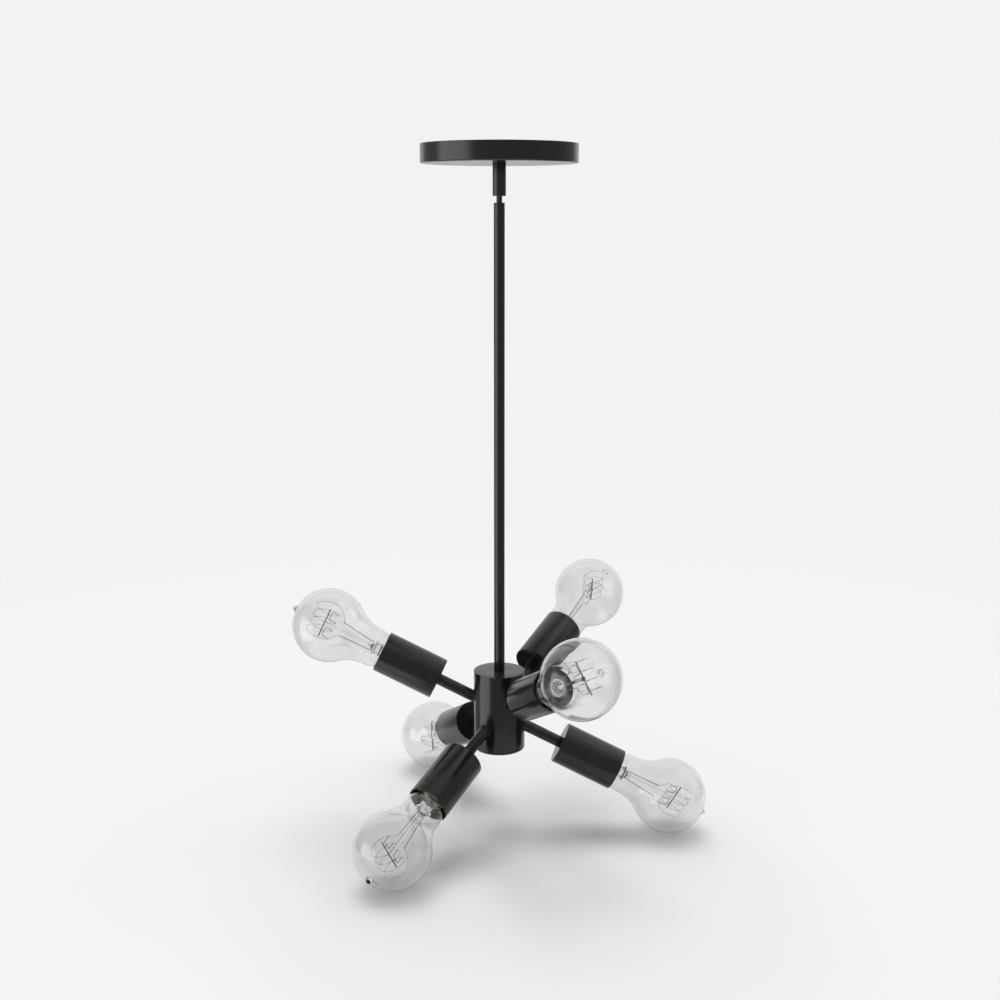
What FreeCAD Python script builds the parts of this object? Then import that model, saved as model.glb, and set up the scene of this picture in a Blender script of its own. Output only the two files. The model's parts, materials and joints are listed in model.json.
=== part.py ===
"""Six-lamp sputnik chandelier: bare filament lamps on a small drum, hung by one stem from a canopy.

Millimetres, +Z up. The origin is the centre of the canopy's rim, in the plane of the ceiling, so
everything hangs below z = 0. Three arms rise and three fall, in turn, every 60 degrees round the drum.
Each arm's pieces are drawn along their own +Z, which is the arm's axis, with zero where that axis
crosses the drum's; one placement per arm then carries them all.
"""
import FreeCAD, Part

import math
import os
import re

import Sketcher
from FreeCAD import Placement, Rotation, Vector

SIZES = {
    # canopy: a shallow pan with its mouth against the ceiling
    "canopy_radius": 60.3,
    "canopy_height": 14.4,
    "canopy_wall": 1.0,
    "canopy_round": 1.2,
    # mounting bar, screwed to the outlet box through its two slots
    "strap_length": 104.0,
    "strap_width": 19.0,
    "strap_thick": 1.6,
    "strap_corner": 4.0,
    "box_pitch": 79.375,
    "slot_length": 14.2,
    "slot_width": 4.6,
    "ground_offset": 15.0,
    "ground_shank": 1.9,
    "ground_head": 3.7,
    "ground_head_thick": 1.8,
    "ground_crown": 2.7,
    "ground_edge": 1.0,
    # hollow threaded nipple that carries everything below the mounting bar
    "nipple_radius": 4.0,
    "nipple_bore": 2.8,
    "nipple_grip": 8.0,
    "nut_flats": 12.0,
    "nut_thick": 3.5,
    "thread_gap": 0.05,
    "below_rim": 0.1,
    # ball swivel that lets the stem hang straight
    "barrel_radius": 5.15,
    "barrel_length": 24.2,
    "ball_radius": 3.8,
    "ball_gap": 0.1,
    "ball_height": 4.4,
    "seat_radius": 3.1,
    "seat_angle": 35.0,
    "throat_radius": 4.05,
    "below_thread": 1.0,
    "neck_radius": 2.25,
    "neck_show": 5.0,
    "shank_length": 12.0,
    "wire_bore": 1.4,
    # stem
    "stem_radius": 4.28,
    "stem_bore": 3.15,
    "stem_length": 372.4,
    "stem_thread": 3.95,
    "stem_tail": 9.5,
    # drum, closed from below by a lid whose spigot screws into it
    "hub_radius": 20.75,
    "hub_height": 66.0,
    "hub_wall": 2.0,
    "hub_top": 3.0,
    "lid_thick": 2.6,
    "lid_round": 1.8,
    "spigot_height": 6.0,
    "spigot_wall": 1.5,
    # arms
    "arm_tilt": 25.8,
    "rise_cross": 33.0,
    "fall_cross": 36.1,
    "arm_radius": 4.65,
    "arm_bore": 3.1,
    "arm_start": 16.5,
    "arm_thread": 4.15,
    # cups and lampholders
    "cup_radius": 16.85,
    "cup_length": 51.4,
    "cup_lip": 3.4,
    "cup_wall": 1.0,
    "cup_floor": 1.2,
    "holder_radius": 14.4,
    "holder_boss": 9.5,
    "holder_boss_length": 4.0,
    "holder_grip": 5.8,
    "holder_room_radius": 9.0,
    "holder_floor": 3.4,
    "holder_set_back": 7.4,
    "rivet_hole": 1.6,
    "shell_wall": 0.3,
    "shell_gap": 0.15,
    "shell_set_back": 0.6,
    "shell_floor_hole": 6.5,
    "contact_width": 5.0,
    "contact_length": 9.0,
    "contact_thick": 0.4,
    "contact_rise": 2.3,
    "contact_gap": 0.1,
    # bulb, measured from the centre of its ball
    "lamp_reach": 155.0,
    "bulb_radius": 30.15,
    "glass_wall": 0.7,
    "waist_radius": 31.0,
    "neck_glass": 16.2,
    "rim_radius": 12.4,
    "rim_back": 51.5,
    "collar_length": 3.5,
    "pip_radius": 1.9,
    "pip_reach": 33.3,
    "pip_fillet": 2.2,
    "base_radius": 13.0,
    "base_wall": 0.4,
    "base_length": 26.5,
    "base_taper": 3.0,
    "base_ring": 9.8,
    "base_step": 1.6,
    "button_radius": 4.6,
    "button_thick": 1.2,
    "insulator_rim": 1.0,
    # glass mount and wires inside the bulb
    "press_back": 36.5,
    "press_length": 6.0,
    "press_radius": 4.8,
    "press_bevel": 0.6,
    "flare_wall": 1.1,
    "flare_waist": 6.0,
    "flare_length": 4.5,
    "flare_bend": 4.0,
    "rod_radius": 1.2,
    "cross_ahead": 4.5,
    "cross_length": 25.8,
    "cross_radius": 0.45,
    "staple_radius": 0.3,
    "staple_back": 2.4,
    "staple_bend": 0.7,
    "lead_radius": 0.35,
    "lead_root": 4.0,
    "long_lead_side": 7.8,
    "long_lead_back": 9.9,
    "short_lead_side": 4.5,
    "short_lead_back": 12.6,
    "thread_radius": 0.25,
    "loop_ahead": 11.8,
    "loop_behind": 8.5,
    "loop_side": 8.0,
    "loop_lean": 2.2,
    "foot_pitch": 7.5,
    "roll_one": 290.5,
    "roll_two": 107.7,
    "roll_three": 281.0,
    "roll_four": 84.8,
    "roll_five": 280.0,
    "roll_six": 106.5,
}
LOOPS = 4
ROLLS = ("roll_one", "roll_two", "roll_three", "roll_four", "roll_five", "roll_six")
ARMS = len(ROLLS)
WIRE_SIDES = 4

doc = FreeCAD.newDocument("sputnik_chandelier")
sheet = doc.addObject("Spreadsheet::Sheet", "sizes")
for row, (alias, number) in enumerate(SIZES.items(), start=1):
    sheet.set("A%d" % row, alias)
    sheet.set("B%d" % row, str(number))
    sheet.setAlias("B%d" % row, alias)
doc.recompute()

NODES = []


def bound(text):
    """An expression in which every size named in the text refers to its cell."""
    return re.sub(r"[a-z][a-z_]+", lambda word: "sizes." + word[0] if word[0] in SIZES else word[0], text)


def worth(text):
    """What such an expression comes to, in millimetres or degrees."""
    return float(sheet.evalExpression(bound(text)))


def bind(thing, **expressions):
    """Ties the object's properties to the sheet."""
    for name, text in expressions.items():
        thing.setExpression(name.replace("__", "."), bound(text))
    return thing


def node(thing, label):
    """Names a finished piece and puts it on the list of those that are written out."""
    thing.Label = label
    NODES.append(thing)
    return thing


# ---------------------------------------------------------------- turned, sawn and pressed pieces

def origin_plane(body, role):
    return next(item for item in body.Origin.OriginFeatures if item.Role == role)


def new_sketch(body, name, role):
    sketch = body.newObject("Sketcher::SketchObject", name)
    sketch.AttachmentSupport = (origin_plane(body, role), [""])
    sketch.MapMode = "FlatFace"
    return sketch


def pin_down(sketch, geometry, place, corner):
    """Holds one point of the sketch at a pair of expressions, measured from the origin."""
    for axis, line, text in zip("XY", (-2, -1), corner):
        if text == "0":
            sketch.addConstraint(Sketcher.Constraint("PointOnObject", geometry, place, line))
            continue
        index = sketch.addConstraint(
            Sketcher.Constraint("Distance" + axis, -1, 1, geometry, place, worth(text)))
        title = "%s%d_%d" % (axis.lower(), geometry, place)
        sketch.renameConstraint(index, title)
        sketch.setExpression("Constraints." + title, bound(text))


def outline(body, name, role, corners):
    """A closed sketch with straight sides; every corner is a pair of expressions."""
    sketch = new_sketch(body, name, role)
    spots = [Vector(worth(across), worth(along), 0) for across, along in corners]
    count = len(spots)
    for side in range(count):
        sketch.addGeometry(Part.LineSegment(spots[side], spots[(side + 1) % count]), False)
    for side in range(count):
        sketch.addConstraint(Sketcher.Constraint("Coincident", side, 2, (side + 1) % count, 1))
    for side, corner in enumerate(corners):
        pin_down(sketch, side, 1, corner)
    return sketch


def turned(name, corners):
    """A body turned on a lathe: the corners give its half section as (radius, height)."""
    body = doc.addObject("PartDesign::Body", name)
    sketch = outline(body, name + "_section", "XZ_Plane", corners)
    spin = body.newObject("PartDesign::Revolution", name + "_turning")
    spin.Profile = (sketch, [""])
    spin.ReferenceAxis = (sketch, ["V_Axis"])
    spin.Angle = 360
    doc.recompute()
    return body


def rounded(body, radius_at, height_at, size):
    """Rounds the circular edge that has this radius and height."""
    wanted, level = worth(radius_at), worth(height_at)
    base = body.Tip
    for number, edge in enumerate(base.Shape.Edges, start=1):
        curve = edge.Curve
        if isinstance(curve, Part.Circle) and abs(curve.Radius - wanted) < 1e-4 \
                and abs(curve.Center.z - level) < 1e-4:
            fillet = body.newObject("PartDesign::Fillet", body.Name + "_round")
            fillet.Base = (base, ["Edge%d" % number])
            bind(fillet, Radius=size)
            body.Tip = fillet
            doc.recompute()
            return body
    raise ValueError("no edge of radius %s at %s" % (radius_at, height_at))


def cylinder(name, radius, height, start=None):
    """A plain cylinder along +Z that begins at the height given, or else at zero."""
    rod = bind(doc.addObject("Part::Cylinder", name), Radius=radius, Height=height)
    return bind(rod, Placement__Base__z=start) if start else rod


def cut(name, base, tool):
    result = doc.addObject("Part::Cut", name)
    result.Base = base
    result.Tool = tool
    return result


def fused(name, pieces):
    result = doc.addObject("Part::MultiFuse", name)
    result.Shapes = pieces
    return result


def hex_nut(name, flats, thick, hole, start):
    """A six-sided nut with a plain hole, flat on its seat at the height given."""
    blank = doc.addObject("Part::Prism", name + "_blank")
    blank.Polygon = 6
    bind(blank, Circumradius="%s / sqrt(3)" % flats, Height=thick, Placement__Base__z=start)
    return cut(name, blank, cylinder(name + "_hole", hole, thick, start))


def solid_piece(name, shape):
    """A piece whose form only the geometry functions can give."""
    piece = doc.addObject("Part::Feature", name)
    piece.Shape = shape
    return piece


# ------------------------------------------------------------------------ where each arm points

def arm_place(number, roll=0.0):
    """The placement that carries a piece drawn along +Z to the arm with this number.

    The roll turns the piece about the arm first. A piece's +X then lies level and square to the arm
    at a roll of zero, and rises to the arm's upper side at 90 degrees.
    """
    rises = number % 2 == 1
    lift = worth("arm_tilt") if rises else -worth("arm_tilt")
    drop = worth("rise_cross") if rises else worth("fall_cross")
    heading = math.radians(360.0 / ARMS * number)
    hinge = Vector(-math.sin(heading), math.cos(heading), 0)
    turn = Rotation(hinge, 90.0 - lift).multiply(Rotation(Vector(0, 0, 1), 90.0 + roll))
    return Placement(Vector(0, 0, worth(HUB_TOP) - drop), turn)


def on_arm(thing, number, roll=0.0):
    thing.Placement = arm_place(number, roll)
    return thing


BARREL_TOP = "-canopy_height"
BARREL_END = "-canopy_height - barrel_length"
BALL_AT = "-canopy_height - barrel_length + ball_height"
STEM_TOP = "-canopy_height - barrel_length - neck_show"
HUB_TOP = "-canopy_height - barrel_length - neck_show - stem_length"
HUB_END = "-canopy_height - barrel_length - neck_show - stem_length - hub_height"


# ------------------------------------------------------------------------ at the ceiling

def make_canopy():
    """A spun pan, open to the ceiling, with the nipple's hole in its floor."""
    hole = "nipple_radius + thread_gap"
    body = turned("canopy", [
        (hole, "-canopy_height"), ("canopy_radius", "-canopy_height"), ("canopy_radius", "0"),
        ("canopy_radius - canopy_wall", "0"),
        ("canopy_radius - canopy_wall", "-canopy_height + canopy_wall"),
        (hole, "-canopy_height + canopy_wall")])
    return node(rounded(body, "canopy_radius", "-canopy_height", "canopy_round"), "canopy")


def slot_sketch(body, name, centre):
    """A round-ended slot along X: two straight sides and two half circles."""
    sketch = new_sketch(body, name, "XY_Plane")
    half = "slot_width / 2"
    reach = "(slot_length - slot_width) / 2"
    low, high = centre + " - " + reach, centre + " + " + reach
    near, far, rim = worth(low), worth(high), worth(half)
    sketch.addGeometry(Part.LineSegment(Vector(near, -rim, 0), Vector(far, -rim, 0)), False)
    sketch.addGeometry(Part.Arc(Vector(far, -rim, 0), Vector(far + rim, 0, 0), Vector(far, rim, 0)), False)
    sketch.addGeometry(Part.LineSegment(Vector(far, rim, 0), Vector(near, rim, 0)), False)
    sketch.addGeometry(Part.Arc(Vector(near, rim, 0), Vector(near - rim, 0, 0), Vector(near, -rim, 0)), False)
    for first in (0, 2):
        pin_down(sketch, first, 1, ((low, "-" + half), (high, half))[first // 2])
        pin_down(sketch, first, 2, ((high, "-" + half), (low, half))[first // 2])
    for arc, before, after in ((1, 0, 2), (3, 2, 0)):
        sketch.addConstraint(Sketcher.Constraint("Tangent", before, 2, arc, 1))
        sketch.addConstraint(Sketcher.Constraint("Coincident", arc, 2, after, 1))
    return sketch


def hole_sketch(body, name, centre, radius):
    """A round hole whose centre is on the X axis."""
    sketch = new_sketch(body, name, "XY_Plane")
    sketch.addGeometry(Part.Circle(Vector(worth(centre), 0, 0), Vector(0, 0, 1), worth(radius)), False)
    pin_down(sketch, 0, 3, (centre, "0"))
    index = sketch.addConstraint(Sketcher.Constraint("Radius", 0, worth(radius)))
    sketch.renameConstraint(index, "hole_radius")
    sketch.setExpression("Constraints.hole_radius", bound(radius))
    return sketch


def pocket(body, sketch):
    """Cuts the sketch right through the plate, on both sides of its plane."""
    cutter = body.newObject("PartDesign::Pocket", sketch.Name + "_cut")
    cutter.Profile = (sketch, [""])
    cutter.Type = "ThroughAll"
    cutter.Midplane = True
    body.Tip = cutter
    return cutter


def make_mounting_strap():
    """The steel bar across the outlet box: two screw slots, the nipple's hole and the earth hole."""
    body = doc.addObject("PartDesign::Body", "mounting_strap")
    half, side = "strap_length / 2", "strap_width / 2"
    sketch = outline(body, "strap_outline", "XY_Plane", [
        ("-" + half, "-" + side), (half, "-" + side), (half, side), ("-" + half, side)])
    plate = body.newObject("PartDesign::Pad", "strap_plate")
    plate.Profile = (sketch, [""])
    plate.Reversed = True
    bind(plate, Length="strap_thick")
    doc.recompute()
    corners = body.newObject("PartDesign::Fillet", "strap_corners")
    uprights = [number for number, edge in enumerate(plate.Shape.Edges, start=1)
                if abs(edge.tangentAt(edge.FirstParameter).z) > 0.9]
    corners.Base = (plate, ["Edge%d" % number for number in uprights])
    bind(corners, Radius="strap_corner")
    body.Tip = corners
    doc.recompute()
    slot_cut = pocket(body, slot_sketch(body, "box_slot", "box_pitch / 2"))
    doc.recompute()
    pair = body.newObject("PartDesign::Mirrored", "box_slots")
    pair.Originals = [slot_cut]
    pair.MirrorPlane = (origin_plane(body, "YZ_Plane"), [""])
    body.Tip = pair
    doc.recompute()
    pocket(body, hole_sketch(body, "nipple_tapping", "0", "nipple_radius + thread_gap"))
    doc.recompute()
    pocket(body, hole_sketch(body, "ground_tapping", "ground_offset", "ground_shank + thread_gap"))
    doc.recompute()
    return node(body, "mounting_strap")


def make_ground_screw():
    """The earth screw: a pan head under the bar, its shank through the tapped hole."""
    body = turned("ground_screw", [
        ("0", "-strap_thick - ground_head_thick"),
        ("ground_crown", "-strap_thick - ground_head_thick"),
        ("ground_head", "-strap_thick - ground_edge"), ("ground_head", "-strap_thick"),
        ("ground_shank", "-strap_thick"), ("ground_shank", "-below_rim"), ("0", "-below_rim")])
    return node(bind(body, Placement__Base__x="ground_offset"), "ground_screw")


def make_nipple():
    """The hollow threaded tube from the mounting bar down into the swivel."""
    body = turned("nipple", [
        ("nipple_bore", "-canopy_height - nipple_grip"),
        ("nipple_radius", "-canopy_height - nipple_grip"), ("nipple_radius", "-below_rim"),
        ("nipple_bore", "-below_rim")])
    return node(body, "nipple")


def make_nipple_nut():
    """Locks the nipple against the underside of the mounting bar."""
    return node(hex_nut("nipple_nut", "nut_flats", "nut_thick", "nipple_radius + thread_gap",
                        "-strap_thick - nut_thick"), "nipple_nut")


def make_swivel_barrel():
    """The swivel's housing: nipple thread above, ball chamber, conical seat and a flared throat.

    The seat is a cone that would touch a ball as wide as the chamber, so the ball clears it evenly.
    """
    chamber = "(ball_radius + ball_gap)"
    seat_start = BALL_AT + " - %s * tan(seat_angle / 2)" % chamber
    seat_end = BALL_AT + " - ({0} * sin(seat_angle) + ({0} * cos(seat_angle) - seat_radius)" \
        " / tan(seat_angle))".format(chamber)
    thread_end = BARREL_TOP + " - nipple_grip - below_thread"
    body = turned("swivel_barrel", [
        ("nipple_radius + thread_gap", BARREL_TOP), ("barrel_radius", BARREL_TOP),
        ("barrel_radius", BARREL_END), ("throat_radius", BARREL_END), ("seat_radius", seat_end),
        (chamber, seat_start), (chamber, thread_end), ("nipple_radius + thread_gap", thread_end)])
    return node(body, "swivel_barrel")


def make_swivel_stud():
    """The ball, its bare neck and the threaded shank inside the stem, bored through for the wires."""
    ball = doc.addObject("Part::Sphere", "stud_ball")
    bind(ball, Radius="ball_radius", Placement__Base__z=BALL_AT)
    neck = cylinder("stud_neck", "neck_radius", "ball_height + neck_show", STEM_TOP)
    shank = cylinder("stud_shank", "stem_bore - thread_gap", "shank_length", STEM_TOP + " - shank_length")
    blank = fused("stud_blank", [ball, neck, shank])
    bore = cylinder("stud_bore", "wire_bore", "shank_length + neck_show + ball_height + 2 * ball_radius",
                    STEM_TOP + " - shank_length")
    return node(cut("swivel_stud", blank, bore), "swivel_stud")


# ------------------------------------------------------------------------ stem and drum

def make_stem():
    """One straight tube; its lower end is turned down to a thread that goes through the drum's top."""
    body = turned("stem_tube", [
        ("stem_bore", STEM_TOP), ("stem_radius", STEM_TOP), ("stem_radius", HUB_TOP),
        ("stem_thread", HUB_TOP), ("stem_thread", HUB_TOP + " - stem_tail"),
        ("stem_bore", HUB_TOP + " - stem_tail")])
    return node(body, "stem_tube")


def make_stem_nut():
    """Holds the drum up against the stem's shoulder, from inside."""
    return node(hex_nut("stem_nut", "nut_flats", "nut_thick", "stem_thread + thread_gap",
                        HUB_TOP + " - hub_top - nut_thick"), "stem_nut")


def make_hub():
    """The drum: closed top with the stem's hole, open below, with six slanting holes for the arms."""
    inner = "hub_radius - hub_wall"
    shell = turned("hub_shell", [
        ("stem_thread + thread_gap", HUB_TOP), ("hub_radius", HUB_TOP),
        ("hub_radius", HUB_END + " + lid_thick"), (inner, HUB_END + " + lid_thick"),
        (inner, HUB_TOP + " - hub_top"), ("stem_thread + thread_gap", HUB_TOP + " - hub_top")])
    drills = [on_arm(cylinder("arm_drill_%d" % (number + 1), "arm_radius + thread_gap", CUP_BACK), number)
              for number in range(ARMS)]
    return node(cut("hub_body", shell, fused("arm_drills", drills)), "hub_body")


def make_hub_lid():
    """The bottom of the drum, with a rounded rim and a spigot inside the wall."""
    spigot = "hub_radius - hub_wall - thread_gap"
    body = turned("hub_lid", [
        ("0", HUB_END), ("hub_radius", HUB_END), ("hub_radius", HUB_END + " + lid_thick"),
        (spigot, HUB_END + " + lid_thick"), (spigot, HUB_END + " + lid_thick + spigot_height"),
        (spigot + " - spigot_wall", HUB_END + " + lid_thick + spigot_height"),
        (spigot + " - spigot_wall", HUB_END + " + lid_thick"), ("0", HUB_END + " + lid_thick")])
    return node(rounded(body, "hub_radius", HUB_END, "lid_round"), "hub_lid")


# ------------------------------------------------------------------------ arm, cup and lampholder

# Everything here is placed back from the lamp: the cup's mouth reaches a little past the rim of its
# cap, and the contact's tongue meets its button. The wiring room takes what the cup leaves behind that.

CAP_RIM = "lamp_reach - rim_back"
CUP_MOUTH = CAP_RIM + " + cup_lip"
CUP_BACK = CUP_MOUTH + " - cup_length"
CUP_INSIDE = CUP_BACK + " + cup_floor"
HOLDER_BACK = CUP_INSIDE + " + nut_thick"
HOLDER_ROOM = HOLDER_BACK + " + holder_grip"
HOLDER_RIM = CUP_MOUTH + " - holder_set_back"
CONTACT_LIP = CAP_RIM + " - base_length - contact_gap"
HOLDER_SHELF = CONTACT_LIP + " - contact_rise"
SHELL_BORE = "base_radius + shell_gap"


def make_arm(number):
    """A straight tube: brazed into the drum, threaded where it goes through the cup's floor."""
    title = "arm_%d" % (number + 1)
    body = turned(title, [
        ("arm_bore", "arm_start"), ("arm_radius", "arm_start"), ("arm_radius", CUP_BACK),
        ("arm_thread", CUP_BACK), ("arm_thread", HOLDER_ROOM), ("arm_bore", HOLDER_ROOM)])
    return node(on_arm(body, number), title)


def make_cup(number):
    """A drawn cup that hides the lampholder; the arm's thread comes through its floor."""
    title = "cup_%d" % (number + 1)
    hole = "arm_thread + thread_gap"
    body = turned(title, [
        (hole, CUP_BACK), ("cup_radius", CUP_BACK), ("cup_radius", CUP_MOUTH),
        ("cup_radius - cup_wall", CUP_MOUTH), ("cup_radius - cup_wall", CUP_INSIDE), (hole, CUP_INSIDE)])
    return node(on_arm(body, number), title)


def make_cup_nuts():
    """Six nuts, one clamping each cup against its arm's shoulder."""
    nuts = [on_arm(hex_nut("cup_nut_%d" % (number + 1), "nut_flats", "nut_thick",
                           "arm_thread + thread_gap", CUP_INSIDE), number) for number in range(ARMS)]
    group = doc.addObject("Part::Compound", "cup_nuts")
    group.Links = nuts
    return node(group, "cup_nuts")


def make_holder(number):
    """The moulded lampholder: boss on the arm's thread, wiring room, shelf and the lamp's bore."""
    title = "holder_%d" % (number + 1)
    hole = "arm_thread + thread_gap"
    ceiling = HOLDER_SHELF + " - holder_floor"
    bore = SHELL_BORE + " + shell_wall"
    body = turned(title, [
        (hole, HOLDER_BACK), ("holder_boss", HOLDER_BACK),
        ("holder_boss", HOLDER_BACK + " + holder_boss_length"),
        ("holder_radius", HOLDER_BACK + " + holder_boss_length"), ("holder_radius", HOLDER_RIM),
        (bore, HOLDER_RIM), (bore, HOLDER_SHELF), ("rivet_hole", HOLDER_SHELF),
        ("rivet_hole", ceiling), ("holder_room_radius", ceiling),
        ("holder_room_radius", HOLDER_ROOM), (hole, HOLDER_ROOM)])
    return node(on_arm(body, number), title)


def make_screw_shells():
    """Six brass shells that take the lamps' caps, each seated on its holder's shelf."""
    shells = []
    for number in range(ARMS):
        shell = turned("screw_shell_%d" % (number + 1), [
            ("shell_floor_hole", HOLDER_SHELF), (SHELL_BORE + " + shell_wall", HOLDER_SHELF),
            (SHELL_BORE + " + shell_wall", HOLDER_RIM + " - shell_set_back"),
            (SHELL_BORE, HOLDER_RIM + " - shell_set_back"), (SHELL_BORE, HOLDER_SHELF + " + shell_wall"),
            ("shell_floor_hole", HOLDER_SHELF + " + shell_wall")])
        shells.append(on_arm(shell, number))
    group = doc.addObject("Part::Compound", "screw_shells")
    group.Links = shells
    return node(group, "screw_shells")


def make_centre_contacts():
    """Six sprung tongues: flat on the shelf, then bent up to the button of the lamp's cap."""
    tongues = []
    for number in range(ARMS):
        body = doc.addObject("PartDesign::Body", "contact_%d" % (number + 1))
        near, far = "-contact_length / 2", "contact_length / 2"
        sketch = outline(body, "contact_%d_side" % (number + 1), "XZ_Plane", [
            (near, HOLDER_SHELF), ("-contact_length / 6", HOLDER_SHELF),
            ("contact_length / 3", CONTACT_LIP + " - contact_thick"), (far, CONTACT_LIP + " - contact_thick"),
            (far, CONTACT_LIP), ("contact_length / 4", CONTACT_LIP),
            ("-contact_length / 4", HOLDER_SHELF + " + contact_thick"),
            (near, HOLDER_SHELF + " + contact_thick")])
        strip = body.newObject("PartDesign::Pad", "contact_%d_strip" % (number + 1))
        strip.Profile = (sketch, [""])
        strip.Midplane = True
        bind(strip, Length="contact_width")
        tongues.append(on_arm(body, number))
    group = doc.addObject("Part::Compound", "centre_contacts")
    group.Links = tongues
    return node(group, "centre_contacts")


# ------------------------------------------------------------------------ bulb

def swing(centre, radius, first, second):
    """A circular arc in the half section, the short way round, between two (radius, height) points."""
    middle = (first - centre).normalize() + (second - centre).normalize()
    return Part.Arc(first, centre + middle.normalize() * radius, second).toShape()


def glass_run(inset):
    """The blown glass from its ball down to its open rim, moved in by the inset.

    The waist is an arc tangent to the ball and to the neck; the shoulder is an arc tangent to the
    neck that ends on the rim. Returns the edges with their first and last points.
    """
    ball, waist = worth("bulb_radius") - inset, worth("waist_radius") + inset
    neck, rim = worth("neck_glass") - inset, worth("rim_radius") - inset
    centre = worth("lamp_reach")
    back = math.sqrt((ball + waist) ** 2 - (neck + waist) ** 2)
    middle = Vector(0, 0, centre)
    bend = Vector(neck + waist, 0, centre - back)
    touch = middle + (bend - middle) * (ball / (ball + waist))
    hip = Vector(neck, 0, centre - back)
    edge = Vector(rim, 0, centre - worth("rim_back"))
    end = Vector(rim, 0, edge.z - worth("collar_length"))
    fall, run = neck - rim, hip.z - edge.z
    shoulder = (fall ** 2 + run ** 2) / (2 * fall)
    return touch, [swing(bend, waist, touch, hip),
                   swing(Vector(neck - shoulder, 0, hip.z), shoulder, hip, edge),
                   Part.LineSegment(edge, end).toShape()], end


def envelope_shape():
    """The clear bulb: a thin wall of even thickness with the sealed pip at its crown."""
    wall, ball, knob = worth("glass_wall"), worth("bulb_radius"), worth("pip_radius")
    fillet, centre = worth("pip_fillet"), worth("lamp_reach")
    middle = Vector(0, 0, centre)
    pip = Vector(0, 0, centre + worth("pip_reach") - knob)
    reach = pip.z - centre
    rise = ((ball + fillet) ** 2 - (knob + fillet) ** 2 + reach ** 2) / (2 * reach)
    nook = Vector(math.sqrt((ball + fillet) ** 2 - rise ** 2), 0, centre + rise)
    on_ball = middle + (nook - middle) * (ball / (ball + fillet))
    on_knob = pip + (nook - pip) * (knob / (knob + fillet))
    crown = Vector(0, 0, pip.z + knob)
    outer_touch, outer, outer_end = glass_run(0.0)
    inner_touch, inner, inner_end = glass_run(wall)
    inner_crown = Vector(0, 0, centre + ball - wall)
    equator = Vector(ball, 0, centre)
    inner_equator = Vector(ball - wall, 0, centre)
    edges = [swing(pip, knob, crown, on_knob), swing(nook, fillet, on_knob, on_ball),
             swing(middle, ball, on_ball, equator), swing(middle, ball, equator, outer_touch)]
    edges += outer + [Part.LineSegment(outer_end, inner_end).toShape()] + inner
    edges += [swing(middle, ball - wall, inner_touch, inner_equator),
              swing(middle, ball - wall, inner_equator, inner_crown),
              Part.LineSegment(inner_crown, crown).toShape()]
    face = Part.Face(Part.Wire(Part.__sortEdges__(edges)))
    return face.revolve(Vector(0, 0, 0), Vector(0, 0, 1), 360)


def make_bulb_base(number):
    """The lamp's cap: thin screw shell, and the black insulator with the solder button under it."""
    title = "bulb_base_%d" % (number + 1)
    button = CAP_RIM + " - base_length"
    ring = button + " + button_thick + base_step"
    inside = "base_radius - base_wall"
    shell = turned(title + "_shell", [
        ("base_radius", CAP_RIM), ("base_radius", ring + " + base_taper"), ("base_ring", ring),
        ("base_ring - base_wall", ring + " + base_wall"),
        (inside, ring + " + base_taper + base_wall"), (inside, CAP_RIM)])
    insulator = turned(title + "_insulator", [
        ("0", button), ("button_radius", button), ("button_radius", button + " + button_thick"),
        ("button_radius + insulator_rim", button + " + button_thick"), ("base_ring - base_wall", ring),
        ("base_ring - base_wall", ring + " + base_wall"), ("0", ring + " + base_wall")])
    group = doc.addObject("Part::Compound", title)
    group.Links = [shell, insulator]
    return node(on_arm(group, number), title)


def make_bulb_mount(number):
    """The glass mount: flare sealed to the bulb's rim, press, and the rod that holds the cross wire."""
    title = "bulb_mount_%d" % (number + 1)
    front = "lamp_reach - press_back"
    heel = CAP_RIM + " - collar_length"
    brim = "rim_radius - glass_wall - thread_gap"
    flare = turned(title + "_flare", [
        ("0", front), ("press_radius - press_bevel", front), ("press_radius", front + " - press_bevel"),
        ("press_radius", heel + " + flare_length + flare_bend"),
        ("flare_waist", heel + " + flare_length"), (brim, heel), (brim + " - flare_wall", heel),
        ("flare_waist - flare_wall", heel + " + flare_length"),
        ("press_radius - flare_wall", heel + " + flare_length + flare_bend"),
        ("press_radius - flare_wall", front + " - press_length"), ("0", front + " - press_length")])
    rod = cylinder(title + "_rod", "rod_radius",
                   "press_length + press_back + cross_ahead - cross_radius - thread_gap",
                   front + " - press_length")
    return node(on_arm(fused(title, [flare, rod]), number, worth(ROLLS[number])), title)


# The wires are finer than a millimetre, so four flat sides stand for round.

def wire_solid(edges, radius):
    """One unbroken four-sided wire along a path whose edges run on smoothly."""
    path = Part.Wire(edges)
    start = edges[0].valueAt(edges[0].FirstParameter)
    along = edges[0].tangentAt(edges[0].FirstParameter)
    frame = Rotation(Vector(0, 0, 1), along)
    corners = [start + frame.multVec(Vector(math.cos(turn), math.sin(turn), 0)) * radius
               for turn in (2 * math.pi * k / WIRE_SIDES for k in range(WIRE_SIDES))]
    return path.makePipeShell([Part.makePolygon(corners + corners[:1])], True, False)


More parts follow.
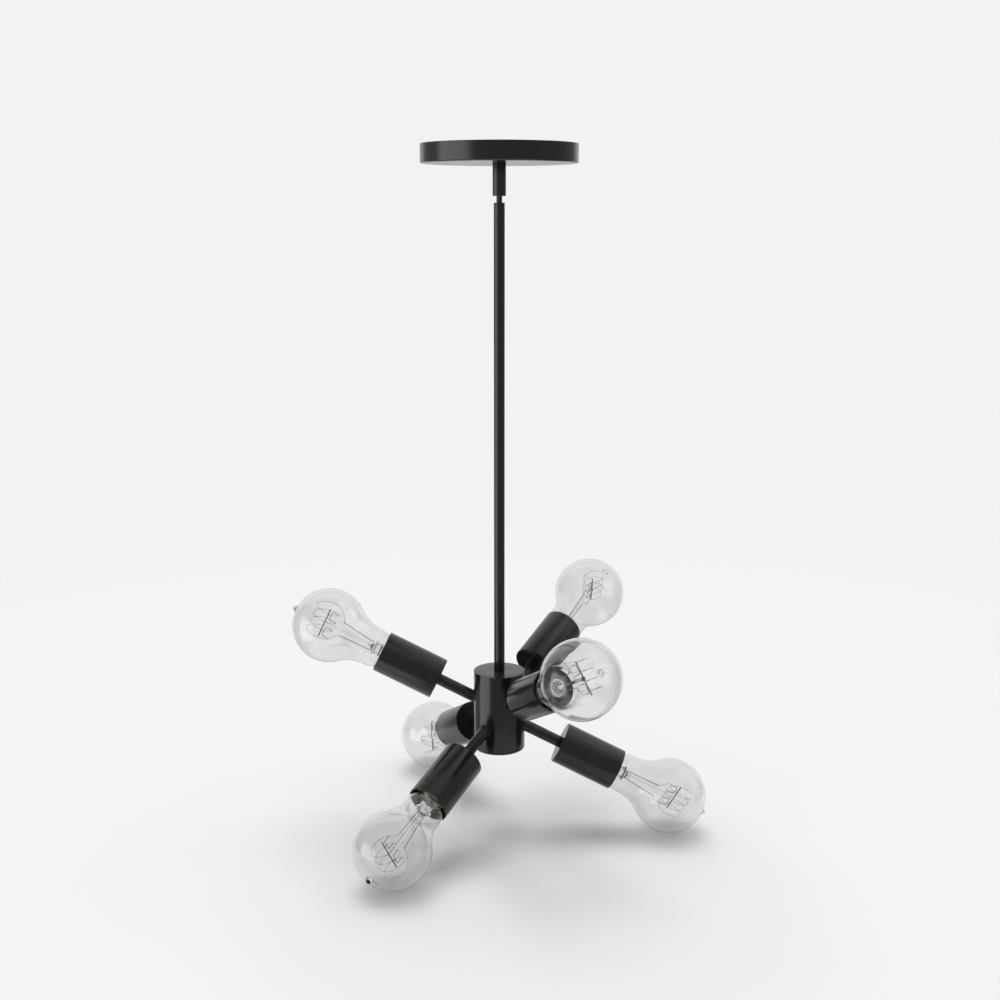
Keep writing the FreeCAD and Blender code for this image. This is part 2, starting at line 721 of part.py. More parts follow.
def biarc(first, heading, last, arrival):
    """Two arcs from one point and direction to another, tangent where they meet."""
    across = last - first
    both = across.dot(heading + arrival)
    spread = 2 * (1 - heading.dot(arrival))
    reach = (math.sqrt(both ** 2 + spread * across.dot(across)) - both) / spread
    middle = (first + last + (heading - arrival) * reach) * 0.5
    arcs = []
    for near, far, tangent in ((first, middle, heading), (last, middle, -arrival)):
        chord = far - near
        bulge = tangent - chord * (tangent.dot(chord) / chord.dot(chord))
        height = chord.Length / 2 * math.tan(math.acos(tangent.dot(chord) / chord.Length) / 2)
        top = (near + far) * 0.5 + bulge.normalize() * height
        arcs.append((near, top, far))
    (near, top, far), (end, crest, joint) = arcs
    return [Part.Arc(near, top, far).toShape(), Part.Arc(joint, crest, end).toShape()]


def filament_point(turns):
    """A point of the filament: oval loops that step along the cross wire, each from a foot.

    A whole number of turns lies at a foot. The loops reach further ahead of the cross wire than
    behind it, and their fronts lean towards the next foot.
    """
    angle = 2 * math.pi * turns
    ahead, behind = worth("loop_ahead"), worth("loop_behind")
    return Vector(worth("foot_pitch") * ((LOOPS + 1) / 2 - turns)
                  - worth("loop_lean") * (1 - math.cos(angle)) / 2,
                  worth("loop_side") * math.sin(angle),
                  worth("lamp_reach + cross_ahead") + (ahead - behind) / 2
                  - (ahead + behind) / 2 * math.cos(angle))


def filament_heading(turns):
    step = 1e-4
    return (filament_point(turns + step) - filament_point(turns - step)).normalize()


def lead_ends(side, back):
    """Where a lead wire leaves the press and where it holds the filament."""
    root = Vector(math.copysign(worth("lead_root"), side), 0, worth("lamp_reach - press_back"))
    return root, Vector(side, 0, worth("lamp_reach") - back)


def both_leads():
    """The long lead on the +X side and the short one on the -X side."""
    return [lead_ends(worth("long_lead_side"), worth("long_lead_back")),
            lead_ends(-worth("short_lead_side"), worth("short_lead_back"))]


def filament_edges():
    """The filament's path: out from the long lead, over the four feet, and back to the short lead.

    It lies across the long lead's end and leaves it sideways, which takes it clear behind the first loop.
    """
    (_, long_tip), (short_root, short_tip) = both_leads()
    start = long_tip + Vector(0, 0, worth("thread_radius"))
    quarters = [quarter / 4 for quarter in range(1, 4 * LOOPS + 1)]
    edges = biarc(start, Vector(1, 0, 0), filament_point(quarters[0]), filament_heading(quarters[0]))
    for near, far in zip(quarters, quarters[1:]):
        edges += biarc(filament_point(near), filament_heading(near),
                       filament_point(far), filament_heading(far))
    return edges + biarc(filament_point(LOOPS), filament_heading(LOOPS), short_tip,
                         (short_root - short_tip).normalize())


def staple(first, last, level):
    """A U of wire whose two ends are the feet given, with its back at the level and rounded corners."""
    bend = worth("staple_bend")
    aside = Vector(math.copysign(bend, last.x - first.x), 0, 0)
    down = Vector(0, 0, -bend)
    near, far = Vector(first.x, 0, level), Vector(last.x, 0, level)
    return wire_solid([
        Part.LineSegment(first, near + down).toShape(),
        swing(near + down + aside, bend, near + down, near + aside),
        Part.LineSegment(near + aside, far - aside).toShape(),
        swing(far + down - aside, bend, far - aside, far + down),
        Part.LineSegment(far + down, last).toShape()], worth("staple_radius"))


def cross_wire():
    """The bar across the support rod, with a staple on a short stalk behind each half of it."""
    height, length = worth("lamp_reach + cross_ahead"), worth("cross_length")
    level = height - worth("staple_back")
    bar = Part.makeCylinder(worth("cross_radius"), length, Vector(-length / 2, 0, height), Vector(1, 0, 0))
    short = Vector(0, 0, 2 * worth("thread_radius"))
    feet = [filament_point(turn) + short for turn in range(1, LOOPS + 1)]
    pieces = []
    for first, last in zip(feet[::2], feet[1::2]):
        middle = (first.x + last.x) / 2
        stalk = Part.LineSegment(Vector(middle, 0, level), Vector(middle, 0, height)).toShape()
        pieces += [staple(first, last, level), wire_solid([stalk], worth("staple_radius"))]
    return bar.fuse(pieces).Solids[0]


def wires_shape():
    """Lead wires, filament and cross wire, as separate solids."""
    leads = [wire_solid([Part.LineSegment(root, tip).toShape()], worth("lead_radius"))
             for root, tip in both_leads()]
    return Part.makeCompound(leads + [wire_solid(filament_edges(), worth("thread_radius")), cross_wire()])


def print_filament_gap():
    """Prints how near the filament comes to itself, measured on points of arcs that aren't neighbours."""
    samples, neighbours = 12, 3
    arcs = [edge.discretize(samples) for edge in filament_edges()]
    least = min((there - here).Length for place, arc in enumerate(arcs)
                for other in arcs[place + neighbours + 1:] for here in arc for there in other)
    print("filament clears itself by %.2f mm" % (least - 2 * worth("thread_radius")))


def make_bulbs():
    """Glass, cap, mount and wires of each lamp; the glass and the wires are drawn once and placed."""
    glass, wires = envelope_shape(), wires_shape()
    for number in range(ARMS):
        title = "bulb_glass_%d" % (number + 1)
        node(on_arm(solid_piece(title, glass.copy()), number), title)
        make_bulb_base(number)
        make_bulb_mount(number)
        title = "bulb_wires_%d" % (number + 1)
        node(on_arm(solid_piece(title, wires.copy()), number, worth(ROLLS[number])), title)


# ------------------------------------------------------------------------ build and write

make_canopy()
make_mounting_strap()
make_ground_screw()
make_nipple()
make_nipple_nut()
make_swivel_barrel()
make_swivel_stud()
make_stem()
make_stem_nut()
make_hub()
make_hub_lid()
for arm in range(ARMS):
    make_arm(arm)
    make_cup(arm)
    make_holder(arm)
make_cup_nuts()
make_screw_shells()
make_centre_contacts()
make_bulbs()
print_filament_gap()
doc.recompute()

for thing in doc.Objects:
    if {"Invalid", "Error"} & set(thing.State):
        raise RuntimeError("%s did not build: %s" % (thing.Name, thing.State))
os.makedirs("parts", exist_ok=True)
for thing in NODES:
    if thing.Shape.isNull() or not thing.Shape.isValid() or not thing.Shape.Solids:
        raise RuntimeError("%s is not a sound solid" % thing.Label)
    thing.Shape.exportStep("parts/%s.step" % thing.Label)
print("%d pieces, %d solids" % (len(NODES), sum(len(thing.Shape.Solids) for thing in NODES)))
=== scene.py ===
# %% [markdown]
# # A six-lamp sputnik chandelier, dressed for the camera
#
# The fitting is a flat canopy, a ball swivel, one straight stem, a small drum, and six slanting arms that
# each end in a cup with a clear filament lamp. Its construction is fixed already: every piece below takes
# its place and its size from that model. What is added here is what the eye judges: softly rounded
# edges, blown glass, rolled threads, fine wires, and finishes that catch the light as the real ones do.

# %% Load the construction
import json
import math

import bpy
import numpy as np
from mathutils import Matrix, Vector


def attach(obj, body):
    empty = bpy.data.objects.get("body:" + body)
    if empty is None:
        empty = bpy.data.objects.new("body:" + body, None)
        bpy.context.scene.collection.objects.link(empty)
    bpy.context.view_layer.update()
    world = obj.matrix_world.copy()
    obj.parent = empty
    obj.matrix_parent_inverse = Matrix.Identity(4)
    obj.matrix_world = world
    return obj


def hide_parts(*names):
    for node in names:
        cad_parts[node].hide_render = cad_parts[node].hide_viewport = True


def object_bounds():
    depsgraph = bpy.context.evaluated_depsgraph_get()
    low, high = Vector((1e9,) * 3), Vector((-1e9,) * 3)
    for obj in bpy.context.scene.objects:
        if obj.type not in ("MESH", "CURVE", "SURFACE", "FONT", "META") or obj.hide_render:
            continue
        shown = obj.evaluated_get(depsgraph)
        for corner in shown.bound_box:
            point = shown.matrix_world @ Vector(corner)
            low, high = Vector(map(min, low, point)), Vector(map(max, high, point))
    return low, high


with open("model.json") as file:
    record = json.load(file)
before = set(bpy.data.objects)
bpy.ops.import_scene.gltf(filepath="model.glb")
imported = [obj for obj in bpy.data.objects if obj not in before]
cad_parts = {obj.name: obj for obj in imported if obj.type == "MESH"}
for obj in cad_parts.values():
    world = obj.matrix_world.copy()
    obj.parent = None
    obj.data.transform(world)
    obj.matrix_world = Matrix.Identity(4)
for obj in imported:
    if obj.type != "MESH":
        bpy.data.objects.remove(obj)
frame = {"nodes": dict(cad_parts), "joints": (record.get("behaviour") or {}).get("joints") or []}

MM = 0.001
BOX_BEFORE = [list(corner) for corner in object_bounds()]
ARMS = range(1, 7)


def add_object(name, data):
    """Puts a mesh, a camera or a light into the scene."""
    item = bpy.data.objects.new(name, data)
    bpy.context.scene.collection.objects.link(item)
    return item


# %% [markdown]
# ## The camera
#
# The photograph was matched by solving for the camera and the lamps together, so the camera's place is a
# real one: a little over a metre in front of the stem, just below the ceiling, looking slightly down.

# %% Camera
CAMERA_AT = np.array([95.1, -1091.7, -54.8]) * MM
CAMERA_DOWN = 11.35
CAMERA_TURN = 4.95
LENS = 50.63
FILM = 36.0

camera = add_object("camera", bpy.data.cameras.new("camera"))
camera.data.lens = LENS
camera.data.sensor_width = FILM
camera.data.clip_start, camera.data.clip_end = 0.01, 100.0
camera.location = CAMERA_AT
camera.rotation_euler = (math.radians(90 - CAMERA_DOWN), 0, math.radians(CAMERA_TURN))
bpy.context.scene.camera = camera

# %% [markdown]
# ## Reading sizes off the construction
#
# Most pieces are round about the stem or about an arm. Each arm's direction is the one along which its lamp
# comes out, and the arm's line meets the stem's at one height. With those two, any piece can be measured
# in its arm's own coordinates: how far out along the arm it starts and ends, and how far from the line it
# reaches. A lamp is also rolled about its arm by however far it happens to be screwed in.

# %% Arm frames and measures
ROLLS = {1: 290.5, 2: 107.7, 3: 281.0, 4: 84.8, 5: 280.0, 6: 106.5}  # degrees
UPRIGHT = (np.eye(3), np.zeros(3))


def node_points(node):
    """All the corner points of a piece of the construction, as an array."""
    mesh = frame["nodes"][node].data
    flat = np.empty(len(mesh.vertices) * 3)
    mesh.vertices.foreach_get("co", flat)
    return flat.reshape(-1, 3)


def arm_frame(number, roll=0.0):
    """Turn and place of an arm: columns are its own X, Y and Z, and Z runs outwards along it.

    With no roll, X is level and square to the arm. The roll, in degrees, turns X up about the arm.
    The place is where the arm's line meets the stem's: a cup's middle lies on the arm's line, so the
    height follows from how far out that middle is and how steeply the arm climbs.
    """
    joint = next(item for item in frame["joints"] if item["name"] == "bulb_%d_out" % number)
    out = np.array(joint["axis"], float)
    out /= np.linalg.norm(out)
    level = np.cross([0, 0, 1], out)
    level /= np.linalg.norm(level)
    rising = np.cross(out, level)
    turn = math.radians(roll)
    own_x = math.cos(turn) * level + math.sin(turn) * rising
    points = node_points("cup_%d" % number)
    middle = (points.min(0) + points.max(0)) / 2
    height = middle[2] - math.hypot(middle[0], middle[1]) * out[2] / math.hypot(out[0], out[1])
    return np.stack([own_x, np.cross(out, own_x), out], axis=1), np.array([0, 0, height])


def reach(node, place=UPRIGHT):
    """Start, end and greatest radius of a node, measured along and about the Z of a place."""
    local = (node_points(node) - place[1]) @ place[0]
    return local[:, 2].min(), local[:, 2].max(), np.hypot(local[:, 0], local[:, 1]).max()


FRAMES = {number: arm_frame(number) for number in ARMS}
ROLLED = {number: arm_frame(number, ROLLS[number]) for number in ARMS}
print("arm lines meet the stem's at", [round(FRAMES[n][1][2] / MM, 1) for n in ARMS], "mm")

# %% [markdown]
# ## Two ways to make a surface
#
# Nearly everything here is turned on a lathe or drawn as wire, so two helpers make almost all the meshes.
# Both lay points on a grid with numpy and hand the whole grid to the mesh at once. The lathe carries a half
# section round an axis. The wire carries a circle along a path. Sharp corners look wrong in a render
# because no real edge is perfectly sharp, so a third helper rounds the corners of a half section first.

# %% Mesh helpers
SHARP_EDGE = math.radians(35)
NOSE_RINGS = 4


def new_piece(name, points, faces):
    """A mesh object that is shaded smooth, except across edges sharper than the limit."""
    mesh = bpy.data.meshes.new(name)
    mesh.from_pydata(points, [], faces)
    mesh.polygons.foreach_set("use_smooth", np.ones(len(mesh.polygons), bool))
    mesh.set_sharp_from_angle(angle=SHARP_EDGE)
    return add_object(name, mesh)


def put_mesh(name, grid, wrap_rows, place):
    """A piece from a grid of points (rows, columns, 3), whose columns always close into a ring.

    Every four neighbours make one face. Points that fall together, as at a pole, become one.
    """
    rows, columns = grid.shape[:2]
    last = rows if wrap_rows else rows - 1
    row, column = np.meshgrid(np.arange(last), np.arange(columns), indexing="ij")
    below, beside = (row + 1) % rows, (column + 1) % columns
    quads = np.stack([row * columns + column, row * columns + beside,
                      below * columns + beside, below * columns + column], axis=-1).reshape(-1, 4)
    points = grid.reshape(-1, 3) @ place[0].T + place[1]
    _, first, same = np.unique(np.round(points / 1e-8).astype(np.int64), axis=0,
                               return_index=True, return_inverse=True)
    order = np.argsort(first)
    rank = np.empty_like(order)
    rank[order] = np.arange(len(order))
    quads = rank[same.reshape(-1)][quads]
    faces = [tuple(dict.fromkeys(quad)) for quad in quads.tolist()]
    return new_piece(name, points[first[order]], [face for face in faces if len(face) > 2])


def arc(centre, radius, start, end, steps=8):
    """Points of a circle in the half section, from one angle to another, in degrees."""
    angle = np.radians(np.linspace(start, end, steps + 1))
    return np.stack([centre[0] + radius * np.cos(angle), centre[1] + radius * np.sin(angle)], axis=1)


def softened(corners, steps=5):
    """A half section with rounded corners: each corner is (radius, height, rounding), all in metres.

    A rounding replaces its corner by the arc that touches both sides, cut off at the same distance on each.
    """
    spots = np.array([corner[:2] for corner in corners], float)
    pieces = []
    for index, corner in enumerate(corners):
        here = spots[index]
        if len(corner) < 3:
            pieces.append(here[None])
            continue
        back, on = spots[index - 1] - here, spots[(index + 1) % len(spots)] - here
        back, on = back / np.linalg.norm(back), on / np.linalg.norm(on)
        half = math.acos(np.clip(back @ on, -1, 1)) / 2
        middle = here + (back + on) / np.linalg.norm(back + on) * corner[2] / math.sin(half)
        first = here + back * corner[2] / math.tan(half) - middle
        last = here + on * corner[2] / math.tan(half) - middle
        start = math.degrees(math.atan2(first[1], first[0]))
        sweep = (math.degrees(math.atan2(last[1], last[0])) - start + 180) % 360 - 180
        pieces.append(arc(middle, corner[2], start, start + sweep, steps))
    return np.concatenate(pieces)


def capped(corners, steps=5):
    """A half section with rounded corners that starts and ends on the axis, level with its end corners."""
    low, high = corners[0][1], corners[-1][1]
    edge = softened([*corners, (0.1 * MM, high)], steps)[:-1]
    return np.concatenate([[[0, low]], edge, [[0, high]]])


def lathe(name, section, place=UPRIGHT, sides=96):
    """Turns a half section about Z: the point (r, z) at angle a lands on (r cos a, r sin a, z).

    The section runs anticlockwise, so that its faces point outwards, and is reversed here if it doesn't.
    It closes on itself, or, where both ends lie on the axis, along the axis.
    """
    section = np.asarray(section, float)
    ahead = np.roll(section, -1, axis=0)
    if (section[:, 0] * ahead[:, 1] - ahead[:, 0] * section[:, 1]).sum() < 0:
        section = section[::-1]
    angle = np.linspace(0, 2 * math.pi, sides, endpoint=False)
    grid = np.stack([np.outer(section[:, 0], np.cos(angle)), np.outer(section[:, 0], np.sin(angle)),
                     np.outer(section[:, 1], np.ones(sides))], axis=-1)
    on_axis = section[0, 0] < 1e-9 and section[-1, 0] < 1e-9
    return put_mesh(name, grid, not on_axis, place)


def wire_grid(path, radius, across, sides=10, closed=False):
    """Rings of a round wire along a path of points.

    At each point the ring lies square to the path. Its first spoke is the direction "across" with the
    part along the path taken away, which keeps the wire from twisting. Open ends get a round nose.
    """
    path = np.asarray(path, float)
    if closed:
        along = np.roll(path, -1, axis=0) - np.roll(path, 1, axis=0)
    else:
        along = np.gradient(path, axis=0)
    along /= np.linalg.norm(along, axis=1, keepdims=True)
    widths = np.full(len(path), radius)
    if not closed:
        bend = np.radians(np.linspace(90, 15, NOSE_RINGS))
        nose = radius * np.sin(bend)[:, None]
        path = np.concatenate([path[:1] - along[:1] * nose, path, path[-1:] + along[-1:] * nose[::-1]])
        along = np.concatenate([np.repeat(along[:1], NOSE_RINGS, 0), along,
                                np.repeat(along[-1:], NOSE_RINGS, 0)])
        tips = radius * np.cos(bend)
        widths = np.concatenate([tips, widths, tips[::-1]])
    spoke = np.asarray(across, float) - along * (along @ np.asarray(across, float))[:, None]
    spoke /= np.linalg.norm(spoke, axis=1, keepdims=True)
    third = np.cross(along, spoke)
    angle = np.linspace(0, 2 * math.pi, sides, endpoint=False)
    ring = spoke[:, None] * np.cos(angle)[None, :, None] + third[:, None] * np.sin(angle)[None, :, None]
    return path[:, None] + ring * widths[:, None, None]


def wire(name, path, radius, across, place=UPRIGHT, sides=10, closed=False):
    """A piece of round wire. The ring's points run round the path's direction, so faces point outwards."""
    return put_mesh(name, wire_grid(path, radius, across, sides, closed)[:, ::-1], closed, place)


def joined(name, pieces):
    """Makes one piece of several, in their order."""
    meshes = [piece.data for piece in pieces]
    points = np.concatenate([np.array([v.co for v in mesh.vertices]) for mesh in meshes])
    starts = np.cumsum([0] + [len(mesh.vertices) for mesh in meshes])
    faces = [[index + start for index in face.vertices]
             for mesh, start in zip(meshes, starts) for face in mesh.polygons]
    for piece in pieces:
        bpy.data.objects.remove(piece)
    return new_piece(name, points, faces)


def finish_piece(piece, material, body, node=None):
    """Gives a piece its finish and its body, and hides the node that it stands for, if any."""
    piece.data.materials.append(material)
    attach(piece, body)
    if node:
        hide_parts(node)


# %% [markdown]
# ## Finishes
#
# Two effects are shared. *Orange peel* is the faint ripple of sprayed or moulded surfaces. *Handling*
# varies how sharply a surface reflects, by an amount too small to see as a pattern. Each is a node group
# that puts out plain values, and each material sets it with numbers of its own. The gloss itself stays in
# the material's own shader. A few short helpers make the nodes, so that each tree reads as a sum.

# %% Shared effects
def new_group(name, inputs, outputs):
    """An empty node group with named float inputs, given as (name, value), and float outputs."""
    group = bpy.data.node_groups.new(name, "ShaderNodeTree")
    for title, value in inputs:
        socket = group.interface.new_socket(title, in_out="INPUT", socket_type="NodeSocketFloat")
        socket.default_value = value
    for title in outputs:
        group.interface.new_socket(title, in_out="OUTPUT", socket_type="NodeSocketFloat")
    return group, group.nodes.new("NodeGroupInput"), group.nodes.new("NodeGroupOutput")


def link(tree, source, target):
    """Joins an output to an input."""
    tree.links.new(source, target)


def add_node(tree, kind, inputs=(), **settings):
    """A new node. Each input is given as its name or number with a value or another node's output."""
    node = tree.nodes.new(kind)
    for title, value in settings.items():
        setattr(node, title, value)
    for key, source in inputs:
        if isinstance(source, bpy.types.NodeSocket):
            link(tree, source, node.inputs[key])
        else:
            node.inputs[key].default_value = source
    return node


def maths(tree, operation, *sources):
    """The result of a Math node on up to three values or outputs."""
    return add_node(tree, "ShaderNodeMath", enumerate(sources), operation=operation).outputs[0]


def ramp(tree, value, low, high):
    """Rises smoothly from 0 to 1 while the value goes from low to high."""
    return add_node(tree, "ShaderNodeMapRange", [("Value", value), ("From Min", low), ("From Max", high)],
                    interpolation_type="SMOOTHSTEP").outputs["Result"]


def noise(tree, scale, detail):
    """A noise that is fixed to the object's own coordinates, with its scale per metre."""
    where = tree.nodes.new("ShaderNodeTexCoord").outputs["Object"]
    return add_node(tree, "ShaderNodeTexNoise",
                    [("Vector", where), ("Scale", scale), ("Detail", detail)]).outputs[0]


def spread(tree, value, low, high):
    """Maps a noise, which mostly lies between 0.3 and 0.7, on to the range low to high."""
    return add_node(tree, "ShaderNodeMapRange", [("Value", value), ("From Min", 0.3), ("From Max", 0.7),
                                                 ("To Min", low), ("To Max", high)]).outputs["Result"]


def bumped(tree, shader, height, distance):
    """Tilts the shader's surface by a height, whose 1 stands the distance proud, in metres."""
    bump = add_node(tree, "ShaderNodeBump", [("Strength", 1.0), ("Distance", distance), ("Height", height)])
    link(tree, bump.outputs["Normal"], shader.inputs["Normal"])


def make_orange_peel(finer=3.0, fainter=0.35):
    """Ripples per metre in, ripple height out: a broad noise, and a finer and fainter one on top."""
    group, entry, leave = new_group("orange_peel", [("Ripples", 600.0)], ["Height"])
    ripples = entry.outputs["Ripples"]
    broad = noise(group, ripples, 1.0)
    fine = noise(group, maths(group, "MULTIPLY", ripples, finer), 1.0)
    link(group, maths(group, "MULTIPLY_ADD", fine, fainter, broad), leave.inputs["Height"])
    return group


def make_handling():
    """Low and high roughness in, a roughness out that drifts between them over a few centimetres."""
    group, entry, leave = new_group("handling", [("Low", 0.2), ("High", 0.3), ("Patches", 60.0)],
                                    ["Roughness", "Patch"])
    patches = noise(group, entry.outputs["Patches"], 5.0)
    link(group, spread(group, patches, entry.outputs["Low"], entry.outputs["High"]),
         leave.inputs["Roughness"])
    link(group, spread(group, patches, 0.0, 1.0), leave.inputs["Patch"])
    return group


EFFECTS = {"orange_peel": make_orange_peel(), "handling": make_handling()}

# %% Material helpers
MIX_COLOURS = (6, 7)  # the inputs of a Mix node that take colours


def blank_material(name):
    """A new material, its node tree and its main shader."""
    material = bpy.data.materials.new(name)
    material.use_nodes = True
    return material, material.node_tree, material.node_tree.nodes["Principled BSDF"]


def show_through(tree, shader, share, tint=(1.0, 1.0, 1.0)):
    """Puts out the shader, with a share of it given over to clear, tinted nothing."""
    clear = add_node(tree, "ShaderNodeBsdfTransparent", [("Color", (*tint, 1.0))])
    mix = add_node(tree, "ShaderNodeMixShader",
                   [("Fac", share), (1, shader.outputs["BSDF"]), (2, clear.outputs["BSDF"])])
    link(tree, mix.outputs["Shader"], tree.nodes["Material Output"].inputs["Surface"])


def new_material(name, colours, low, high, metallic=0.0, ripple=0.0, ripples=600.0):
    """A finish: two colours that drift into each other, a drifting roughness and a faint ripple.

    The roughness lies between low and high. The ripple is the height, in metres, of the orange peel.
    """
    material, tree, shader = blank_material(name)
    shader.inputs["Metallic"].default_value = metallic
    handling = add_node(tree, "ShaderNodeGroup", [("Low", low), ("High", high)],
                        node_tree=EFFECTS["handling"])
    mix = add_node(tree, "ShaderNodeMix", data_type="RGBA")
    link(tree, handling.outputs["Patch"], mix.inputs[0])
    for socket, colour in zip(MIX_COLOURS, colours):
        mix.inputs[socket].default_value = (*colour, 1.0)
    link(tree, handling.outputs["Roughness"], shader.inputs["Roughness"])
    link(tree, mix.outputs[2], shader.inputs["Base Color"])
    if ripple:
        peel = add_node(tree, "ShaderNodeGroup", [("Ripples", ripples)], node_tree=EFFECTS["orange_peel"])
        bumped(tree, shader, peel.outputs["Height"], ripple)
    return material


# %% Opaque finishes
black_paint = new_material("black_paint", [(0.0085,) * 3, (0.0115, 0.0115, 0.0118)],
                           0.17, 0.22, ripple=2e-6, ripples=900.0)
zinc_plate = new_material("zinc_plate", [(0.58, 0.59, 0.58), (0.66, 0.66, 0.63)],
                          0.28, 0.42, metallic=1.0, ripple=4e-6, ripples=1500.0)
green_zinc = new_material("green_zinc", [(0.03, 0.22, 0.07), (0.05, 0.3, 0.1)],
                          0.3, 0.4, metallic=0.8, ripple=4e-6, ripples=1500.0)
brass = new_material("brass", [(0.36, 0.28, 0.16), (0.48, 0.38, 0.22)],
                     0.24, 0.38, metallic=1.0, ripple=5e-6, ripples=1200.0)
phenolic = new_material("phenolic", [(0.011, 0.011, 0.012), (0.018, 0.017, 0.017)],
                        0.34, 0.46, ripple=6e-6, ripples=1500.0)
solder = new_material("solder", [(0.5, 0.5, 0.52), (0.62, 0.62, 0.63)],
                      0.25, 0.45, metallic=1.0, ripple=2e-5, ripples=900.0)
black_glass = new_material("black_glass", [(0.006, 0.006, 0.009), (0.012, 0.012, 0.015)],
                           0.06, 0.12, ripple=1e-5, ripples=500.0)
lead_wire = new_material("lead_wire", [(0.34, 0.31, 0.28), (0.42, 0.38, 0.33)],
                         0.3, 0.42, metallic=1.0)
dark_wire = new_material("dark_wire", [(0.045, 0.042, 0.04), (0.08, 0.075, 0.07)],
                         0.35, 0.5, metallic=1.0)
filament_wire = new_material("filament_wire", [(0.16, 0.15, 0.145), (0.24, 0.22, 0.2)],
                             0.45, 0.6, metallic=0.6)

# %% [markdown]
# ## Glass
#
# The envelope is a real wall, outside and inside, so it bends light only where it should: at the edges, at
# the neck and at the pip. Bent paths to a light are hard to find, and the shadow of such a solid would come
# out nearly black, so rays that look for a light pass straight through the glass and are only tinted.

# %% Glass
WAVES = 45.0  # per metre


def new_glass(name, tint, shade, wave):
    """Clear glass with faint waves: one shader for what is seen, and a plain tint for rays to a light."""
    material, tree, shader = blank_material(name)
    for title, value in (("Base Color", (*tint, 1.0)), ("Roughness", 0.0), ("IOR", 1.5),
                         ("Transmission Weight", 1.0)):
        shader.inputs[title].default_value = value
    bumped(tree, shader, noise(tree, WAVES, 1.0), wave)
    to_light = tree.nodes.new("ShaderNodeLightPath").outputs["Is Shadow Ray"]
    show_through(tree, shader, to_light, shade)
    return material


clear_glass = new_glass("clear_glass", (0.895, 0.898, 0.897), (0.8, 0.8, 0.8), 1.2e-5)
mount_glass = new_glass("mount_glass", (0.93, 0.935, 0.932), (0.7, 0.7, 0.7), 1e-5)

# %% [markdown]
# ## Canopy, swivel and stem
#
# The canopy is a spun pan with a generous radius where its side meets its flat underside. The barrel of the
# swivel is a small turned tube, and below it shows the bare neck of the ball stud. The stem is one straight
# tube that stands on the drum.

# %% Canopy
FIT = 0.05 * MM
PAN_WALL = 1.0 * MM
low, high, pan_radius = reach("canopy")
hole = reach("nipple")[2] + FIT
canopy = lathe("canopy_pan", softened([
    (hole, low, 0.15 * MM), (pan_radius, low, 1.2 * MM), (pan_radius, high, 0.2 * MM),
    (pan_radius - PAN_WALL, high, 0.2 * MM), (pan_radius - PAN_WALL, low + PAN_WALL, 0.8 * MM),
    (hole, low + PAN_WALL, 0.15 * MM)], 8), sides=192)
finish_piece(canopy, black_paint, "canopy", "canopy")
print("canopy %.1f mm across, %.1f mm deep" % (2 * pan_radius / MM, (high - low) / MM))

# %% Swivel and stem
NECK_RADIUS = 2.25 * MM
BALL_ABOVE = 4.4 * MM
CHAMBER_GAP = 0.1 * MM
SEAT_RADIUS = 3.1 * MM
THROAT_RADIUS = 4.05 * MM
NIPPLE_ROOM = 9.0 * MM
SEAT_FROM, SEAT_TO = -0.625, -0.32  # in ball radii from the ball's centre

barrel_low, barrel_high, barrel_radius = reach("swivel_barrel")
ball_radius = reach("swivel_stud")[2]
ball_height = barrel_low + BALL_ABOVE
chamber = ball_radius + CHAMBER_GAP
barrel = lathe("swivel_housing", softened([
    (hole, barrel_high, 0.1 * MM), (barrel_radius, barrel_high, 0.25 * MM),
    (barrel_radius, barrel_low, 0.35 * MM), (THROAT_RADIUS, barrel_low, 0.1 * MM),
    (SEAT_RADIUS, ball_height + SEAT_FROM * ball_radius, 0.1 * MM),
    (chamber, ball_height + SEAT_TO * ball_radius, 0.1 * MM), (chamber, barrel_high - NIPPLE_ROOM),
    (hole, barrel_high - NIPPLE_ROOM)]), sides=64)
finish_piece(barrel, black_paint, "swivel_barrel", "swivel_barrel")

WIRE_BORE = 1.4 * MM
SHANK_RADIUS = 3.1 * MM
stem_low, stem_high, stem_radius = reach("stem_tube")
stud_low = reach("swivel_stud")[0]
ball_top = math.degrees(math.acos(WIRE_BORE / ball_radius))
neck_turn = math.degrees(math.acos(NECK_RADIUS / ball_radius))
ball_side = arc((0, ball_height), ball_radius, -neck_turn, ball_top, 24)
shank_side = softened([
    (WIRE_BORE, stud_low), (SHANK_RADIUS, stud_low, 0.3 * MM),
    (SHANK_RADIUS, stem_high, 0.05 * MM), (NECK_RADIUS, stem_high)])
stud = lathe("swivel_ball_stud", np.concatenate([shank_side, ball_side]), sides=64)
finish_piece(stud, black_paint, "swivel_stud", "swivel_stud")

STEM_BORE = 3.15 * MM
STEM_THREAD = 3.95 * MM
drum_low, drum_high, drum_radius = reach("hub_body")
stem = lathe("stem_rod", softened([
    (STEM_BORE, stem_high, 0.15 * MM), (stem_radius, stem_high, 0.35 * MM),
    (stem_radius, drum_high, 0.1 * MM), (STEM_THREAD, drum_high, 0.1 * MM),
    (STEM_THREAD, stem_low, 0.3 * MM), (STEM_BORE, stem_low)]), sides=64)
finish_piece(stem, black_paint, "stem", "stem_tube")
print("stem %.2f mm across, %.1f mm long" % (2 * stem_radius / MM, (stem_high - drum_high) / MM))

# %% [markdown]
# ## Drum
#
# The drum's top edge is crisp in the photograph and its bottom edge is rounded: the bottom is a lid whose
# spigot screws into the drum. The six arms enter through slanting holes and are brazed there, so a small,
# smooth bead of brazing closes the ring where an arm meets the drum.

